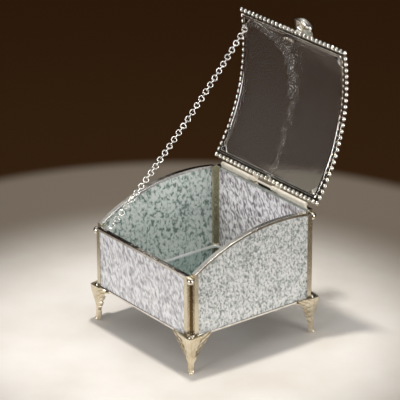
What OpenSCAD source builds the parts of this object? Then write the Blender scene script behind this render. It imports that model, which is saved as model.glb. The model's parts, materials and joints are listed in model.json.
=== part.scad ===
// Glass casket box on leaf feet, with an arched bead-rimmed lid that leans open on a stay chain.
// Origin: centre of the footprint at bench level. Front is -Y, +Z is up.

/* [Box] */
// Width over the side panels
box_w = 100; // [90:1:120]
// Depth over the front and back panels
box_d = 98; // [92:1:110]
// Height of the back panel's top edge above the bench
back_h = 83; // [78:0.5:92]
// Height of the panels' lower edge above the bench
foot_h = 23.7; // [20:0.1:28]

/* [Arched top] */
// Radius of the side panels' top edge
arc_r = 124; // [118:1:140]
// Height of the arc's crown above the back panel's top edge
arc_rise = 1.63; // [1:0.01:2.5]
// Distance of the arc's crown in front of the back face
arc_back = 28.5; // [24:0.5:32]

/* [Rails and glass] */
// Thickness of the panel rails
rail_t = 3.4; // [3:0.1:4.5]
// Visible face width of the uprights
rail_w = 3; // [2.5:0.1:4]
// Visible face width of the top rails
top_w = 1.8; // [1.6:0.1:3]
// Visible face width of the bottom rails
sill_w = 1.5; // [1.4:0.1:3]
// Metal behind the edge of the glass, inside a rail
pocket_wall = 0.5; // [0.4:0.05:0.8]
// Thickness of the panes
glass_t = 2.2; // [1.6:0.1:2.4]
// Clearance round the glass in its groove
glass_gap = 0.1; // [0.05:0.01:0.15]

/* [Floor] */
// Thickness of the base sheet
plate_t = 0.6; // [0.5:0.1:1]
// Thickness of the base mirror
mirror_t = 1.8; // [1.5:0.1:2]
// Clearance between the floor and the panels
floor_gap = 0.1; // [0.05:0.01:0.3]

/* [Solder] */
// Radius of the solder blobs at the corners
blob_r = 2.4; // [1.8:0.1:2.6]
// Radius of the solder seam down the corner grooves
seam_r = 1; // [0.6:0.1:1.5]
// Distance of a top blob's centre below the top edge
blob_drop = 2.8; // [2.6:0.1:5]

/* [Feet] */
// Half the span of the leaf's wings, across the corner
wing_w = 12.2; // [10:0.1:14]
// Half the width of the ankle
ankle_w = 1.85; // [1.5:0.05:2.5]
// Height of the ankle, where the wings start to spread
ankle_h = 7; // [5:0.5:10]
// Height at which the leg starts to bend outward to the lip
bend_h = 9; // [7:0.5:12]
// Height of the wing tips above the panels' lower edge
wing_rise = 2.6; // [1.5:0.1:2.9]
// Height of the lip above the panels' lower edge, at the corner
lip_rise = 0.9; // [0.5:0.1:1.5]
// How far the lip stands out past the corner, on the diagonal
lip_out = 2.6; // [2:0.1:3.5]
// How far the ankle lies inside the corner, on the diagonal
ankle_in = 1; // [0.5:0.1:2]
// Fall of the wings away from the lip
wing_fall = 0.97; // [0.9:0.01:1]
// Radius of the leaf's rounded ridge
ridge_r = 1.2; // [0.8:0.1:2]
// Thickness of the leaf
leaf_t = 1.5; // [1.2:0.1:1.9]
// Extra thickness at the ankle
ankle_extra = 0.5; // [0.2:0.1:0.8]
// Height of the rib down the middle of the leaf
rib_h = 0.45; // [0.2:0.05:0.6]
// Number of lobes down each edge of the leaf
lobes = 5; // [3:1:7]
// Depth of the notches between the lobes
notch_d = 0.9; // [0.4:0.1:1.2]
// Radius of the round toe
toe_r = 1.5; // [1.2:0.1:2]
// Height of the round toe
toe_h = 1.3; // [0.8:0.1:2]
// Thickness of the ledge under the corner
ledge_t = 0.8; // [0.6:0.1:1.2]
// Reach of the ledge inward, on the diagonal
ledge_in = 13; // [11:0.5:16]

/* [Hinge] */
// Distance of the hinge axis in front of the back face
hinge_in = 1.7; // [1.7:0.1:2.2]
// Height of the hinge axis above the back panel's top edge
hinge_lift = 1.7; // [1.6:0.05:2]
// Radius of the hinge tubes and knuckles
knuckle_r = 1.4; // [1.2:0.05:1.4]
// Radius of the hinge pin
pin_r = 0.7; // [0.6:0.05:0.8]
// Clearance between the pin and its bores
pin_gap = 0.05; // [0.03:0.01:0.08]
// Length of each tube on the box
tube_len = 28; // [24:1:30]
// Length of each knuckle on the lid
knuckle_len = 5; // [4:0.5:7]
// Half the open gap in the middle of the hinge
hinge_open = 8.5; // [6:0.5:9]
// Gap between a tube and a knuckle
knuckle_gap = 0.5; // [0.3:0.1:1]
// How far the pin stands out of the tubes
pin_out = 0.5; // [0.3:0.1:1]
// Width of the foot under each tube
saddle_w = 1.6; // [1.2:0.1:2]
// Thickness of the straps from the knuckles to the lid
strap_t = 0.6; // [0.5:0.05:0.7]

/* [Lid] */
// Angle from shut to the open pose
lid_open = 114; // [100:1:115]
// Clearance between the lid and the panels when it is shut
lid_gap = 0.4; // [0.3:0.05:0.6]
// Distance of the lid rails inside the box's sides
lid_side_in = 1.7; // [1.4:0.1:2.2]
// Distance of the front lid rail behind the front face, on the arc
lid_front_in = 1.8; // [1.5:0.1:2.2]
// Distance of the back lid rail in front of the back face, on the arc
lid_back_in = 8.2; // [8:0.1:9]
// Width of the lid rails
lid_rail_w = 3; // [2.8:0.1:3.4]
// Depth of the lid rails
lid_rail_h = 3.8; // [3.6:0.1:4.4]
// Thickness of the lid glass
lid_glass_t = 1.8; // [1.5:0.1:2]
// Depth of the lid rails below the glass groove
lid_lip = 1.4; // [1.2:0.1:1.5]
// How far the lid glass reaches into the rails
lid_grip = 1; // [0.8:0.1:1.1]
// Legs of the corner gussets under the glass
gusset_w = 5; // [3:0.5:5]
// Thickness of the corner gussets
gusset_t = 0.6; // [0.4:0.1:0.8]

/* [Beads] */
// Radius of a bead
bead_r = 1.4; // [1.1:0.05:1.45]
// Spacing of the beads, before they are shared out evenly
bead_pitch = 3.94; // [3.3:0.05:5]
// Height of the bead centres above the side panels' arc
bead_rise = 2.5; // [2.4:0.1:2.6]
// Distance of the bead centres outside the lid rails
bead_out = 2.3; // [2.1:0.1:2.4]
// Thickness of the strip that carries the beads
strip_t = 0.6; // [0.4:0.1:0.8]

/* [Knob] */
// Radius of the knob's rim
knob_r = 8.3; // [6:0.1:9]
// Lean of the knob towards the front, from the lid's normal
knob_lean = 15; // [0:1:30]
// Height of the rim above the rail
rim_h = 6.2; // [5:0.1:8]
// Thickness of the rim
rim_t = 0.9; // [0.6:0.1:1.5]
// Height of the dome above the rim
dome_h = 5.4; // [4:0.1:7]
// Number of turned ribs on the dome
ribs = 3; // [2:1:5]
// Share of its radius that the dome loses between the ribs
rib_dip = 0.07; // [0.03:0.01:0.12]
// Radius of the neck
neck_r = 2.3; // [1.8:0.1:3]
// Radius of the collar under the neck
collar_r = 3.2; // [2.6:0.1:4]
// Height of the collar
collar_h = 1.2; // [0.8:0.1:2]

/* [Tongue] */
// Width of the tongue plate
tongue_w = 13; // [8:1:16]
// Thickness of the tongue plate
tongue_t = 1; // [0.8:0.1:1.5]
// Drop of the tongue below the arc of the side panels
tongue_drop = 2.6; // [1.5:0.1:4]

/* [Chain] */
// Radius of the wire
wire_r = 0.3; // [0.25:0.01:0.32]
// Play between two links
link_play = 0.16; // [0.12:0.01:0.2]
// Distance of the chain's plane inside the left side
chain_in = 7; // [6.8:0.1:8]
// Sag of the chain below a straight line
chain_sag = 3; // [1:0.5:5]
// Distance of the lid's eye from the front lid rail's outer side, on the arc
lid_eye_in = 6.8; // [6.5:0.1:10]
// Drop of the lid's eye below the arc of the side panels
lid_eye_drop = 1.8; // [1.5:0.1:3]
// Distance of the box's eye behind the front face
box_eye_in = 6; // [5:0.1:6.3]
// Drop of the box's eye below the front panel's top edge
box_eye_drop = 3; // [2.5:0.1:6]
// Radius of the plates that carry the eyes
eye_r = 1.1; // [0.8:0.1:1.2]
// Thickness of the plates that carry the eyes
eye_t = 0.7; // [0.5:0.1:0.8]
// Radius of the round head on the lid's eye
eye_head_r = 0.55; // [0.5:0.05:0.8]
// Clearance between the box's eye and the last link
eye_gap = 0.3; // [0.25:0.05:0.5]

/* [Hidden] */

eps = 0.01;
far = box_w + box_d + back_h;
fine = 360;
round_fn = 48;
ball_fn = 32;
wire_fn = 16;

arc_yc = box_d / 2 - arc_back;
arc_zc = back_h + arc_rise - arc_r;
side_x = box_w / 2;
face_y = box_d / 2;
inner_x = side_x - rail_t;
inner_y = face_y - rail_t;
front_h = arc_z(-face_y + rail_t / 2);
glass_in = pocket_wall + glass_gap;
// Lift of the upper mitres above the corners of a panel and of its opening
mitre_lift = 0.05;
floor_x = inner_x - floor_gap;
floor_y = inner_y - floor_gap;

hinge_y = face_y - hinge_in;
hinge_z = back_h + hinge_lift;
tube_x = hinge_open + knuckle_len + knuckle_gap;

lid_r0 = arc_r + lid_gap;
lid_r1 = lid_r0 + lid_rail_h;
lid_glass_r0 = lid_r0 + lid_lip + glass_gap;
lid_glass_r1 = lid_glass_r0 + lid_glass_t;
lid_x1 = side_x - lid_side_in;
lid_x0 = lid_x1 - lid_rail_w;
lid_glass_x = lid_x0 + lid_grip;
gusset_r = lid_r0 + lid_lip - gusset_t - 3 * glass_gap;
front_a1 = asin((-face_y + lid_front_in - arc_yc) / arc_r);
back_a1 = asin((face_y - lid_back_in - arc_yc) / arc_r);
front_a0 = front_a1 + turn_of(lid_rail_w);
back_a0 = back_a1 - turn_of(lid_rail_w);
bead_arc_r = arc_r + bead_rise;
bead_x = lid_x1 + bead_out;
bead_front_a = front_a1 - turn_of(bead_out);
bead_back_a = back_a1 + turn_of(bead_out);
// How far the strips reach out under the beads
strip_out = bead_out - bead_r / 3;
strap_z = arc_zc + bead_arc_r * cos(bead_back_a) + bead_r;
strap_y = arc_yc + (strap_z + strap_t - arc_zc) * tan(back_a1);

// The chain turns in groups of links about axes along X
chain_groups = 15;
links_per_group = 4;
chain_x = -side_x + chain_in;
lid_eye_a = front_a1 + turn_of(lid_eye_in);
lid_eye = opened(polar(arc_r - lid_eye_drop, lid_eye_a));
box_eye = [-face_y + box_eye_in, front_h - box_eye_drop];
chain_dir = (box_eye - lid_eye) / norm(box_eye - lid_eye);
chain_down = [-chain_dir[1], chain_dir[0]];
link_pitch = path_len(0) / (chain_groups * links_per_group);
link_r = (link_pitch + link_play) / 2 + wire_r;

// Height of the arc, offset outward by out, at depth y
function arc_z(y, out = 0) = arc_zc + sqrt(pow(arc_r + out, 2) - pow(y - arc_yc, 2));
// Angle that a length on the arc turns through
function turn_of(len) = len / arc_r * 180 / PI;
// Point [y, z] at radius r and angle a from the crown
function polar(r, a) = [arc_yc + r * sin(a), arc_zc + r * cos(a)];
// Point [y, z] of the shut lid, swung to the open pose
function opened(p) = [
    hinge_y + (p[0] - hinge_y) * cos(lid_open) + (p[1] - hinge_z) * sin(lid_open),
    hinge_z - (p[0] - hinge_y) * sin(lid_open) + (p[1] - hinge_z) * cos(lid_open)
];
// Point [y, z] at share t of the hanging chain, on a parabola below the straight line
function chain_point(t) = lid_eye + t * (box_eye - lid_eye)
    + 4 * chain_sag * t * (1 - t) * chain_down;
// Point at the start of chain group i, counted from 0
function group_start(i) = chain_point(i / chain_groups);
// Length of the chain from group i to its end
function path_len(i) = i >= chain_groups ? 0
    : norm(group_start(i + 1) - group_start(i)) + path_len(i + 1);
// Smooth step from 0 to 1
function ease(t) = let (c = min(1, max(0, t))) c * c * (3 - 2 * c);

// ---- profiles and directions ----

module along_x(x0, x1) {
    translate([x0, 0, 0]) rotate([90, 0, 90]) linear_extrude(x1 - x0) children();
}

module along_y(y0, y1) {
    translate([0, y1, 0]) rotate([90, 0, 0]) linear_extrude(y1 - y0) children();
}

module open_lid() {
    translate([0, hinge_y, hinge_z]) rotate([-lid_open, 0, 0]) translate([0, -hinge_y, -hinge_z]) children();
}

// Places a child whose +Z is the arc's outward normal at angle a, with +Y along the arc
module on_arc(r, a) {
    translate([0, polar(r, a)[0], polar(r, a)[1]]) rotate([-a, 0, 0]) children();
}

module flat_outline(half, top, inset) {
    translate([-half + inset, foot_h + inset]) square([2 * (half - inset), top - foot_h - 2 * inset]);
}

module arched_outline(inset) {
    intersection() {
        flat_outline(inner_y, far, inset);
        translate([arc_yc, arc_zc]) circle(r = arc_r - inset, $fn = fine);
    }
}

// Ring sector between two radii and two angles from the crown
module sector(r0, r1, a0, a1) {
    intersection() {
        translate([arc_yc, arc_zc]) difference() {
            circle(r = r1, $fn = fine);
            circle(r = r0, $fn = fine);
        }
        polygon([polar(0, a0), polar(2 * r1, a0), polar(2 * r1, a1)]);
    }
}

// Region of one mitred rail, between the corners whose outer and inner points are given. The mitre lines run
// on past both: outwards by a multiple of their length that clears the panel, inwards a little into the opening
module mitre_zone(outer_a, inner_a, outer_b, inner_b) {
    reach = 40;
    over = 0.1;
    way_a = outer_a - inner_a;
    way_b = outer_b - inner_b;
    polygon([outer_a + reach * way_a, inner_a - over * way_a, inner_b - over * way_b, outer_b + reach * way_b]);
}

// Corner points of a panel, or with the rail widths as insets those of its opening, from bottom left round:
// bottom left, bottom right, top right, top left
function flat_corners(half, top, side_in, low_in, top_in) = [
    [-half + side_in, foot_h + low_in], [half - side_in, foot_h + low_in],
    [half - side_in, top - top_in], [-half + side_in, top - top_in]
];
function arched_corners(side_in, low_in, top_in) = let (y = inner_y - side_in) [
    [-y, foot_h + low_in], [y, foot_h + low_in], [y, arc_z(y, -top_in)], [-y, arc_z(-y, -top_in)]
];

module zone_of(outer, inner, side) {
    next = (side + 1) % 4;
    mitre_zone(outer[side], inner[side], outer[next], inner[next]);
}

// Opening of an arched panel, inside its rails
module arched_opening() {
    intersection() {
        polygon(flat_corners(inner_y, far, rail_w, sill_w, 0));
        translate([arc_yc, arc_zc]) circle(r = arc_r - top_w, $fn = fine);
    }
}

// Straight panel rail on the front (dir -1) or back (dir 1)
module flat_rail(half, top, side, dir) {
    y0 = dir > 0 ? face_y - rail_t : -face_y;
    mid = y0 + rail_t / 2;
    groove = glass_t / 2 + glass_gap;
    opening = flat_corners(half, top, rail_w, sill_w, top_w);
    color("silver") intersection() {
        along_y(y0, y0 + rail_t)
            zone_of(flat_corners(half, top, 0, 0, -mitre_lift),
                    flat_corners(half, top, rail_w, sill_w, top_w - mitre_lift), side);
        difference() {
            along_y(y0, y0 + rail_t) flat_outline(half, top, 0);
            along_y(mid - groove, mid + groove) flat_outline(half, top, pocket_wall);
            along_y(y0 - 1, y0 + rail_t + 1) polygon(opening);
        }
    }
}

module arched_rail(side, dir) {
    x0 = dir > 0 ? side_x - rail_t : -side_x;
    mid = x0 + rail_t / 2;
    groove = glass_t / 2 + glass_gap;
    color("silver") intersection() {
        along_x(x0, x0 + rail_t)
            zone_of(arched_corners(0, 0, -mitre_lift), arched_corners(rail_w, sill_w, top_w - mitre_lift), side);
        difference() {
            along_x(x0, x0 + rail_t) arched_outline(0);
            along_x(mid - groove, mid + groove) arched_outline(pocket_wall);
            along_x(x0 - 1, x0 + rail_t + 1) arched_opening();
        }
    }
}

module flat_pane(top, dir) {
    mid = dir * (face_y - rail_t / 2);
    color("lightgrey") along_y(mid - glass_t / 2, mid + glass_t / 2) flat_outline(inner_x, top, glass_in);
}

module arched_pane(dir) {
    mid = dir * (side_x - rail_t / 2);
    color("lightgrey") along_x(mid - glass_t / 2, mid + glass_t / 2) arched_outline(glass_in);
}

// ---- floor and solder ----

module base_plate() {
    color("dimgrey") translate([-floor_x, -floor_y, foot_h]) cube([2 * floor_x, 2 * floor_y, plate_t]);
}

module base_mirror() {
    color("slategrey") translate([-floor_x, -floor_y, foot_h + plate_t]) cube([2 * floor_x, 2 * floor_y, mirror_t]);
}

// Solder in the groove of the corner on side sx, sy, up to height top
module corner_seam(sx, sy, top) {
    mid_x = inner_x + rail_t / 2;
    mid_y = inner_y + rail_t / 2;
    mirror([sx > 0 ? 0 : 1, 0, 0]) mirror([0, sy > 0 ? 0 : 1, 0]) intersection() {
        translate([inner_x, inner_y, foot_h]) cube([3 * rail_t, 3 * rail_t, top - foot_h]);
        union() {
            translate([inner_x, inner_y, foot_h]) cylinder(r = seam_r, h = top - foot_h - blob_drop, $fn = round_fn);
            translate([mid_x, mid_y, foot_h]) sphere(r = blob_r, $fn = ball_fn);
            translate([mid_x, mid_y, top - blob_drop]) sphere(r = blob_r, $fn = ball_fn);
        }
    }
}

module corner_solder() {
    color("gainsboro") {
        corner_seam(-1, -1, front_h);
        corner_seam(1, -1, front_h);
        corner_seam(-1, 1, arc_z(inner_y));
        corner_seam(1, 1, arc_z(inner_y));
    }
}

// ---- feet ----

leaf_rows = 30;
leaf_cols = 12;
// Share of the leaf's height above the ankle
function spread(z) = max(0, (z - ankle_h) / (foot_h + wing_rise - ankle_h));
// Half width of the leaf at height z, with a notch where two lobes meet
function leaf_half(z) = ankle_w + (wing_w - ankle_w) * spread(z)
    - notch_d * min(1, 4 * spread(z)) * pow(abs(cos(180 * lobes * spread(z))), 6);
// Diagonal place of the leaf's ridge at height z, outward from the corner
function leaf_tip(z) = -ankle_in + (lip_out + ankle_in) * ease((z - bend_h) / (foot_h - bend_h))
    + ankle_in / 2 * ease(1 - z / (2 * toe_h));
// Height of a leaf point: u across from -1 to 1, v up from 0 to 1
function leaf_z(u, v) = v * (foot_h + lip_rise + (wing_rise - lip_rise) * u * u);
// Point of the leaf's outer or inner skin in [across, diagonal, z]
function leaf_point(u, v, skin) = let (
    z = leaf_z(u, v),
    s = u * leaf_half(z),
    rib = rib_h * exp(-2 * s * s / (ridge_r * ridge_r)),
    outer = leaf_tip(z) - wing_fall * (sqrt(s * s + ridge_r * ridge_r) - ridge_r),
    thick = leaf_t + ankle_extra * (1 - ease(spread(z) * 2))
) [s, skin > 0 ? outer + rib : outer - thick, z];

// Two triangles of a face whose corners run counter-clockwise seen from outside
function quad(a, b, c, d) = [[a, c, b], [a, d, c]];
function leaf_at(skin, i, j) = (skin * (leaf_rows + 1) + j) * (leaf_cols + 1) + i;

module leaf() {
    points = [for (skin = [1, 0]) for (j = [0 : leaf_rows]) for (i = [0 : leaf_cols])
        leaf_point(2 * i / leaf_cols - 1, j / leaf_rows, skin)];
    last_i = leaf_cols;
    last_j = leaf_rows;
    faces = [
        for (j = [0 : last_j - 1]) for (i = [0 : last_i - 1])
            each quad(leaf_at(0, i, j), leaf_at(0, i, j + 1), leaf_at(0, i + 1, j + 1), leaf_at(0, i + 1, j)),
        for (j = [0 : last_j - 1]) for (i = [0 : last_i - 1])
            each quad(leaf_at(1, i, j), leaf_at(1, i + 1, j), leaf_at(1, i + 1, j + 1), leaf_at(1, i, j + 1)),
        for (j = [0 : last_j - 1])
            each quad(leaf_at(0, 0, j), leaf_at(1, 0, j), leaf_at(1, 0, j + 1), leaf_at(0, 0, j + 1)),
        for (j = [0 : last_j - 1])
            each quad(leaf_at(0, last_i, j), leaf_at(0, last_i, j + 1), leaf_at(1, last_i, j + 1), leaf_at(1, last_i, j)),
        for (i = [0 : last_i - 1])
            each quad(leaf_at(0, i, 0), leaf_at(0, i + 1, 0), leaf_at(1, i + 1, 0), leaf_at(1, i, 0)),
        for (i = [0 : last_i - 1])
            each quad(leaf_at(0, i, last_j), leaf_at(1, i, last_j), leaf_at(1, i + 1, last_j), leaf_at(0, i + 1, last_j))
    ];
    polyhedron(points = points, faces = faces, convexity = 8);
}

// Ledge plate under the corner, let into the leaf by half its thickness, in [across, diagonal]
module ledge() {
    half = leaf_half(foot_h - ledge_t);
    lip = lip_out - leaf_t / 2;
    wing = lip - wing_fall * (sqrt(half * half + ridge_r * ridge_r) - ridge_r);
    translate([0, 0, foot_h - ledge_t]) linear_extrude(ledge_t)
        polygon([[0, lip], [half, wing], [half, -ledge_in], [-half, -ledge_in], [-half, wing]]);
}

// Foot in the corner on side sx, sy: local +Y is the diagonal outward
module foot(sx, sy) {
    skin_gap = 0.05;
    color("silver") difference() {
        translate([sx * side_x, sy * face_y, 0]) rotate([0, 0, atan2(sy, sx) - 90]) {
            leaf();
            ledge();
            translate([0, -ankle_in - toe_r / 2, 0]) cylinder(r = toe_r, h = toe_h, $fn = round_fn);
        }
        translate([-side_x - skin_gap, -inner_y - skin_gap, foot_h])
            cube([box_w + 2 * skin_gap, 2 * (inner_y + skin_gap), far]);
        translate([-inner_x - skin_gap, -face_y - skin_gap, foot_h])
            cube([2 * (inner_x + skin_gap), box_d + 2 * skin_gap, far]);
    }
}

// ---- hinge ----

module hinge_tube(sx) {
    x0 = sx > 0 ? tube_x : -tube_x - tube_len;
    color("gainsboro") difference() {
        union() {
            translate([x0, hinge_y, hinge_z]) rotate([0, 90, 0]) cylinder(r = knuckle_r, h = tube_len, $fn = round_fn);
            translate([x0, hinge_y - saddle_w / 2, back_h]) cube([tube_len, saddle_w, hinge_lift - pin_r - pin_gap - eps]);
        }
        translate([x0 - 1, hinge_y, hinge_z]) rotate([0, 90, 0])
            cylinder(r = pin_r + pin_gap, h = tube_len + 2, $fn = round_fn);
    }
}

module hinge_pin() {
    half = tube_x + tube_len + pin_out;
    color("grey") translate([-half, hinge_y, hinge_z]) rotate([0, 90, 0])
        cylinder(r = pin_r, h = 2 * half, $fn = round_fn);
}

module lid_knuckle(x0) {
    web_w = knuckle_r;
    color("gainsboro") open_lid() difference() {
        union() {
            translate([x0, hinge_y, hinge_z]) rotate([0, 90, 0])
                cylinder(r = knuckle_r, h = knuckle_len, $fn = round_fn);
            translate([x0, hinge_y - web_w / 2, hinge_z]) cube([knuckle_len, web_w, strap_z - hinge_z + strap_t]);
            translate([x0, strap_y, strap_z]) cube([knuckle_len, hinge_y + web_w / 2 - strap_y, strap_t]);
        }
        translate([x0 - 1, hinge_y, hinge_z]) rotate([0, 90, 0])
            cylinder(r = pin_r + pin_gap, h = knuckle_len + 2, $fn = round_fn);
    }
}

module lid_knuckles() {
    lid_knuckle(hinge_open);
    lid_knuckle(-hinge_open - knuckle_len);
}

// ---- lid ----

// Front (dir -1) or back (dir 1) rail, across the whole width
module lid_end_rail(dir) {
    groove_x = lid_glass_x + glass_gap;
    grip = turn_of(lid_grip + glass_gap);
    open_lid() difference() {
        along_x(-lid_x1, lid_x1)
            sector(lid_r0, lid_r1, dir < 0 ? front_a1 : back_a0, dir < 0 ? front_a0 : back_a1);
        along_x(-groove_x, groove_x)
            sector(lid_glass_r0 - glass_gap, lid_glass_r1 + glass_gap, front_a0 - grip, back_a0 + grip);
    }
}

module lid_front_rail() {
    color("silver") lid_end_rail(-1);
}

module lid_back_rail() {
    color("silver") lid_end_rail(1);
}

// Side rail between the front and back rails, with its two corner gussets
module lid_side_rail(sx) {
    groove_x = lid_glass_x + glass_gap;
    bite = lid_rail_w / 8;
    color("silver") open_lid() {
        difference() {
            along_x(sx > 0 ? lid_x0 : -lid_x1, sx > 0 ? lid_x1 : -lid_x0)
                sector(lid_r0, lid_r1, front_a0, back_a0);
            along_x(sx > 0 ? lid_x0 - 1 : -groove_x, sx > 0 ? groove_x : -lid_x0 + 1)
                sector(lid_glass_r0 - glass_gap, lid_glass_r1 + glass_gap, front_a1, back_a1);
        }
        for (dir = [-1, 1])
            on_arc(gusset_r, dir < 0 ? front_a0 : back_a0) linear_extrude(gusset_t) polygon([
                [sx * (lid_x0 + bite), -dir * glass_gap], [sx * (lid_x0 + bite), -dir * gusset_w],
                [sx * lid_x0, -dir * gusset_w], [sx * (lid_x0 - gusset_w), -dir * glass_gap]
            ]);
    }
}

module lid_glass() {
    grip = turn_of(lid_grip);
    color("aliceblue") open_lid() along_x(-lid_glass_x, lid_glass_x)
        sector(lid_glass_r0, lid_glass_r1, front_a0 - grip, back_a0 + grip);
}

// Row of beads across the front (dir -1) or back (dir 1), corner beads included
module bead_row_across(dir) {
    count = round(2 * bead_x / bead_pitch);
    a = dir < 0 ? bead_front_a : bead_back_a;
    rail_a = dir < 0 ? front_a1 : back_a1;
    strip_a = rail_a + dir * turn_of(strip_out);
    strip_x = lid_x1 + strip_out;
    color("silver") open_lid() {
        along_x(-strip_x, strip_x)
            sector(bead_arc_r - strip_t / 2, bead_arc_r + strip_t / 2, min(strip_a, rail_a), max(strip_a, rail_a));
        for (i = [0 : count])
            on_arc(bead_arc_r, a) translate([-bead_x + 2 * bead_x * i / count, 0, 0]) sphere(r = bead_r, $fn = ball_fn);
    }
}

// Row of beads down one side, between the corner beads
module bead_row_side(sx) {
    count = round((bead_back_a - bead_front_a) / turn_of(bead_pitch));
    step = (bead_back_a - bead_front_a) / count;
    color("silver") open_lid() {
        along_x(sx > 0 ? lid_x1 : -lid_x1 - strip_out, sx > 0 ? lid_x1 + strip_out : -lid_x1)
            sector(bead_arc_r - strip_t / 2, bead_arc_r + strip_t / 2, front_a1, back_a1);
        for (i = [1 : count - 1])
            on_arc(bead_arc_r, bead_front_a + i * step) translate([sx * bead_x, 0, 0])
                rotate([0, 0, sx > 0 ? 0 : 180]) sphere(r = bead_r, $fn = ball_fn);
    }
}

// ---- knob and tongue ----

// Half the knob's turned outline, from the neck up to the crown of the dome
function dome_point(i, steps) = let (t = 90 * i / steps, k = i % 2 == 0 ? 1 : 1 - rib_dip)
    [k * knob_r * cos(t), rim_h + rim_t + k * dome_h * sin(t)];

module knob() {
    steps = 2 * ribs;
    color("silver") open_lid() on_arc(lid_r1, (front_a0 + front_a1) / 2) {
        cylinder(r = collar_r, h = collar_h, $fn = round_fn);
        rotate([knob_lean, 0, 0]) rotate_extrude($fn = 2 * round_fn) polygon(concat(
            [[0, 3 * collar_h / 4], [neck_r, 3 * collar_h / 4], [neck_r, rim_h / 2],
                [2 * neck_r, 3 * rim_h / 4], [knob_r, rim_h]],
            [for (i = [0 : steps]) dome_point(i, steps)]
        ));
    }
}

module latch_tongue() {
    color("silver") open_lid() on_arc(arc_r - tongue_drop, front_a0)
        translate([-tongue_w / 2, 0, 0]) cube([tongue_w, tongue_t, lid_r0 + lid_lip - arc_r + tongue_drop]);
}

// ---- stay chain ----

module box_chain_eye() {
    reach = chain_x - link_r - wire_r - eye_gap + inner_x;
    color("silver") translate([-inner_x, box_eye[0], box_eye[1]]) rotate([0, 90, 0]) {
        cylinder(r = eye_r, h = eye_t, $fn = round_fn);
        cylinder(r = eye_r / 2, h = reach, $fn = round_fn);
    }
}

module lid_chain_eye() {
    neck = gusset_r - arc_r + lid_eye_drop;
    post = lid_x0 - eye_t + chain_x + 2 * eye_head_r + wire_r;
    color("silver") open_lid() on_arc(arc_r - lid_eye_drop, lid_eye_a) translate([-lid_x0, 0, 0]) {
        rotate([0, 90, 0]) cylinder(r = eye_r, h = eye_t, $fn = round_fn);
        translate([0, -eye_r, 0]) cube([eye_t, 2 * eye_r, neck]);
        translate([eye_t, 0, 0]) rotate([0, 90, 0]) cylinder(r = wire_r, h = post, $fn = wire_fn);
        translate([eye_t + post, 0, 0]) sphere(r = eye_head_r, $fn = ball_fn);
    }
}

module link() {
    rotate_extrude($fn = ball_fn) translate([link_r, 0]) circle(r = wire_r, $fn = wire_fn);
}

// Group i of the chain: links on a straight line from one pivot to the next, turned by turns
module chain_group(i) {
    a = group_start(i);
    b = group_start(i + 1);
    pitch = norm(b - a) / links_per_group;
    color("silver") translate([chain_x, a[0], a[1]]) rotate([atan2(b[1] - a[1], b[0] - a[0]), 0, 0])
        for (k = [1 : links_per_group])
            translate([0, k * pitch - link_r, 0]) rotate([0, k % 2 == 1 ? 90 : 0, 0]) link();
}

flat_pane(front_h, -1);  // front_glass
flat_pane(back_h, 1);  // back_glass
arched_pane(-1);  // left_glass
arched_pane(1);  // right_glass
base_mirror();
base_plate();
flat_rail(inner_x, front_h, 0, -1);  // front_bottom_rail
flat_rail(inner_x, front_h, 1, -1);  // front_right_upright
flat_rail(inner_x, front_h, 2, -1);  // front_top_rail
flat_rail(inner_x, front_h, 3, -1);  // front_left_upright
flat_rail(inner_x, back_h, 0, 1);  // back_bottom_rail
flat_rail(inner_x, back_h, 1, 1);  // back_right_upright
flat_rail(inner_x, back_h, 2, 1);  // back_top_rail
flat_rail(inner_x, back_h, 3, 1);  // back_left_upright
arched_rail(0, -1);  // left_bottom_rail
arched_rail(1, -1);  // left_back_upright
arched_rail(2, -1);  // left_top_rail
arched_rail(3, -1);  // left_front_upright
arched_rail(0, 1);  // right_bottom_rail
arched_rail(1, 1);  // right_back_upright
arched_rail(2, 1);  // right_top_rail
arched_rail(3, 1);  // right_front_upright
foot(-1, -1);  // foot_front_left
foot(1, -1);  // foot_front_right
foot(-1, 1);  // foot_back_left
foot(1, 1);  // foot_back_right
corner_solder();
hinge_tube(-1);  // hinge_tube_left
hinge_tube(1);  // hinge_tube_right
hinge_pin();
box_chain_eye();
lid_glass();
lid_front_rail();
lid_back_rail();
lid_side_rail(-1);  // lid_left_rail
lid_side_rail(1);  // lid_right_rail
bead_row_across(-1);  // lid_front_beads
bead_row_across(1);  // lid_back_beads
bead_row_side(-1);  // lid_left_beads
bead_row_side(1);  // lid_right_beads
lid_knuckles();
knob();
latch_tongue();
lid_chain_eye();
chain_group(0);  // chain_01
chain_group(1);  // chain_02
chain_group(2);  // chain_03
chain_group(3);  // chain_04
chain_group(4);  // chain_05
chain_group(5);  // chain_06
chain_group(6);  // chain_07
chain_group(7);  // chain_08
chain_group(8);  // chain_09
chain_group(9);  // chain_10
chain_group(10);  // chain_11
chain_group(11);  // chain_12
chain_group(12);  // chain_13
chain_group(13);  // chain_14
chain_group(14);  // chain_15
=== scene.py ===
"""Looks, floor, light and camera for a glass casket box on leaf feet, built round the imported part."""
import json
import logging
import math
from collections.abc import Callable, Sequence
from dataclasses import dataclass, field
from enum import Enum

import bmesh
import bpy
import numpy as np
from mathutils import Matrix, Vector

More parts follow.
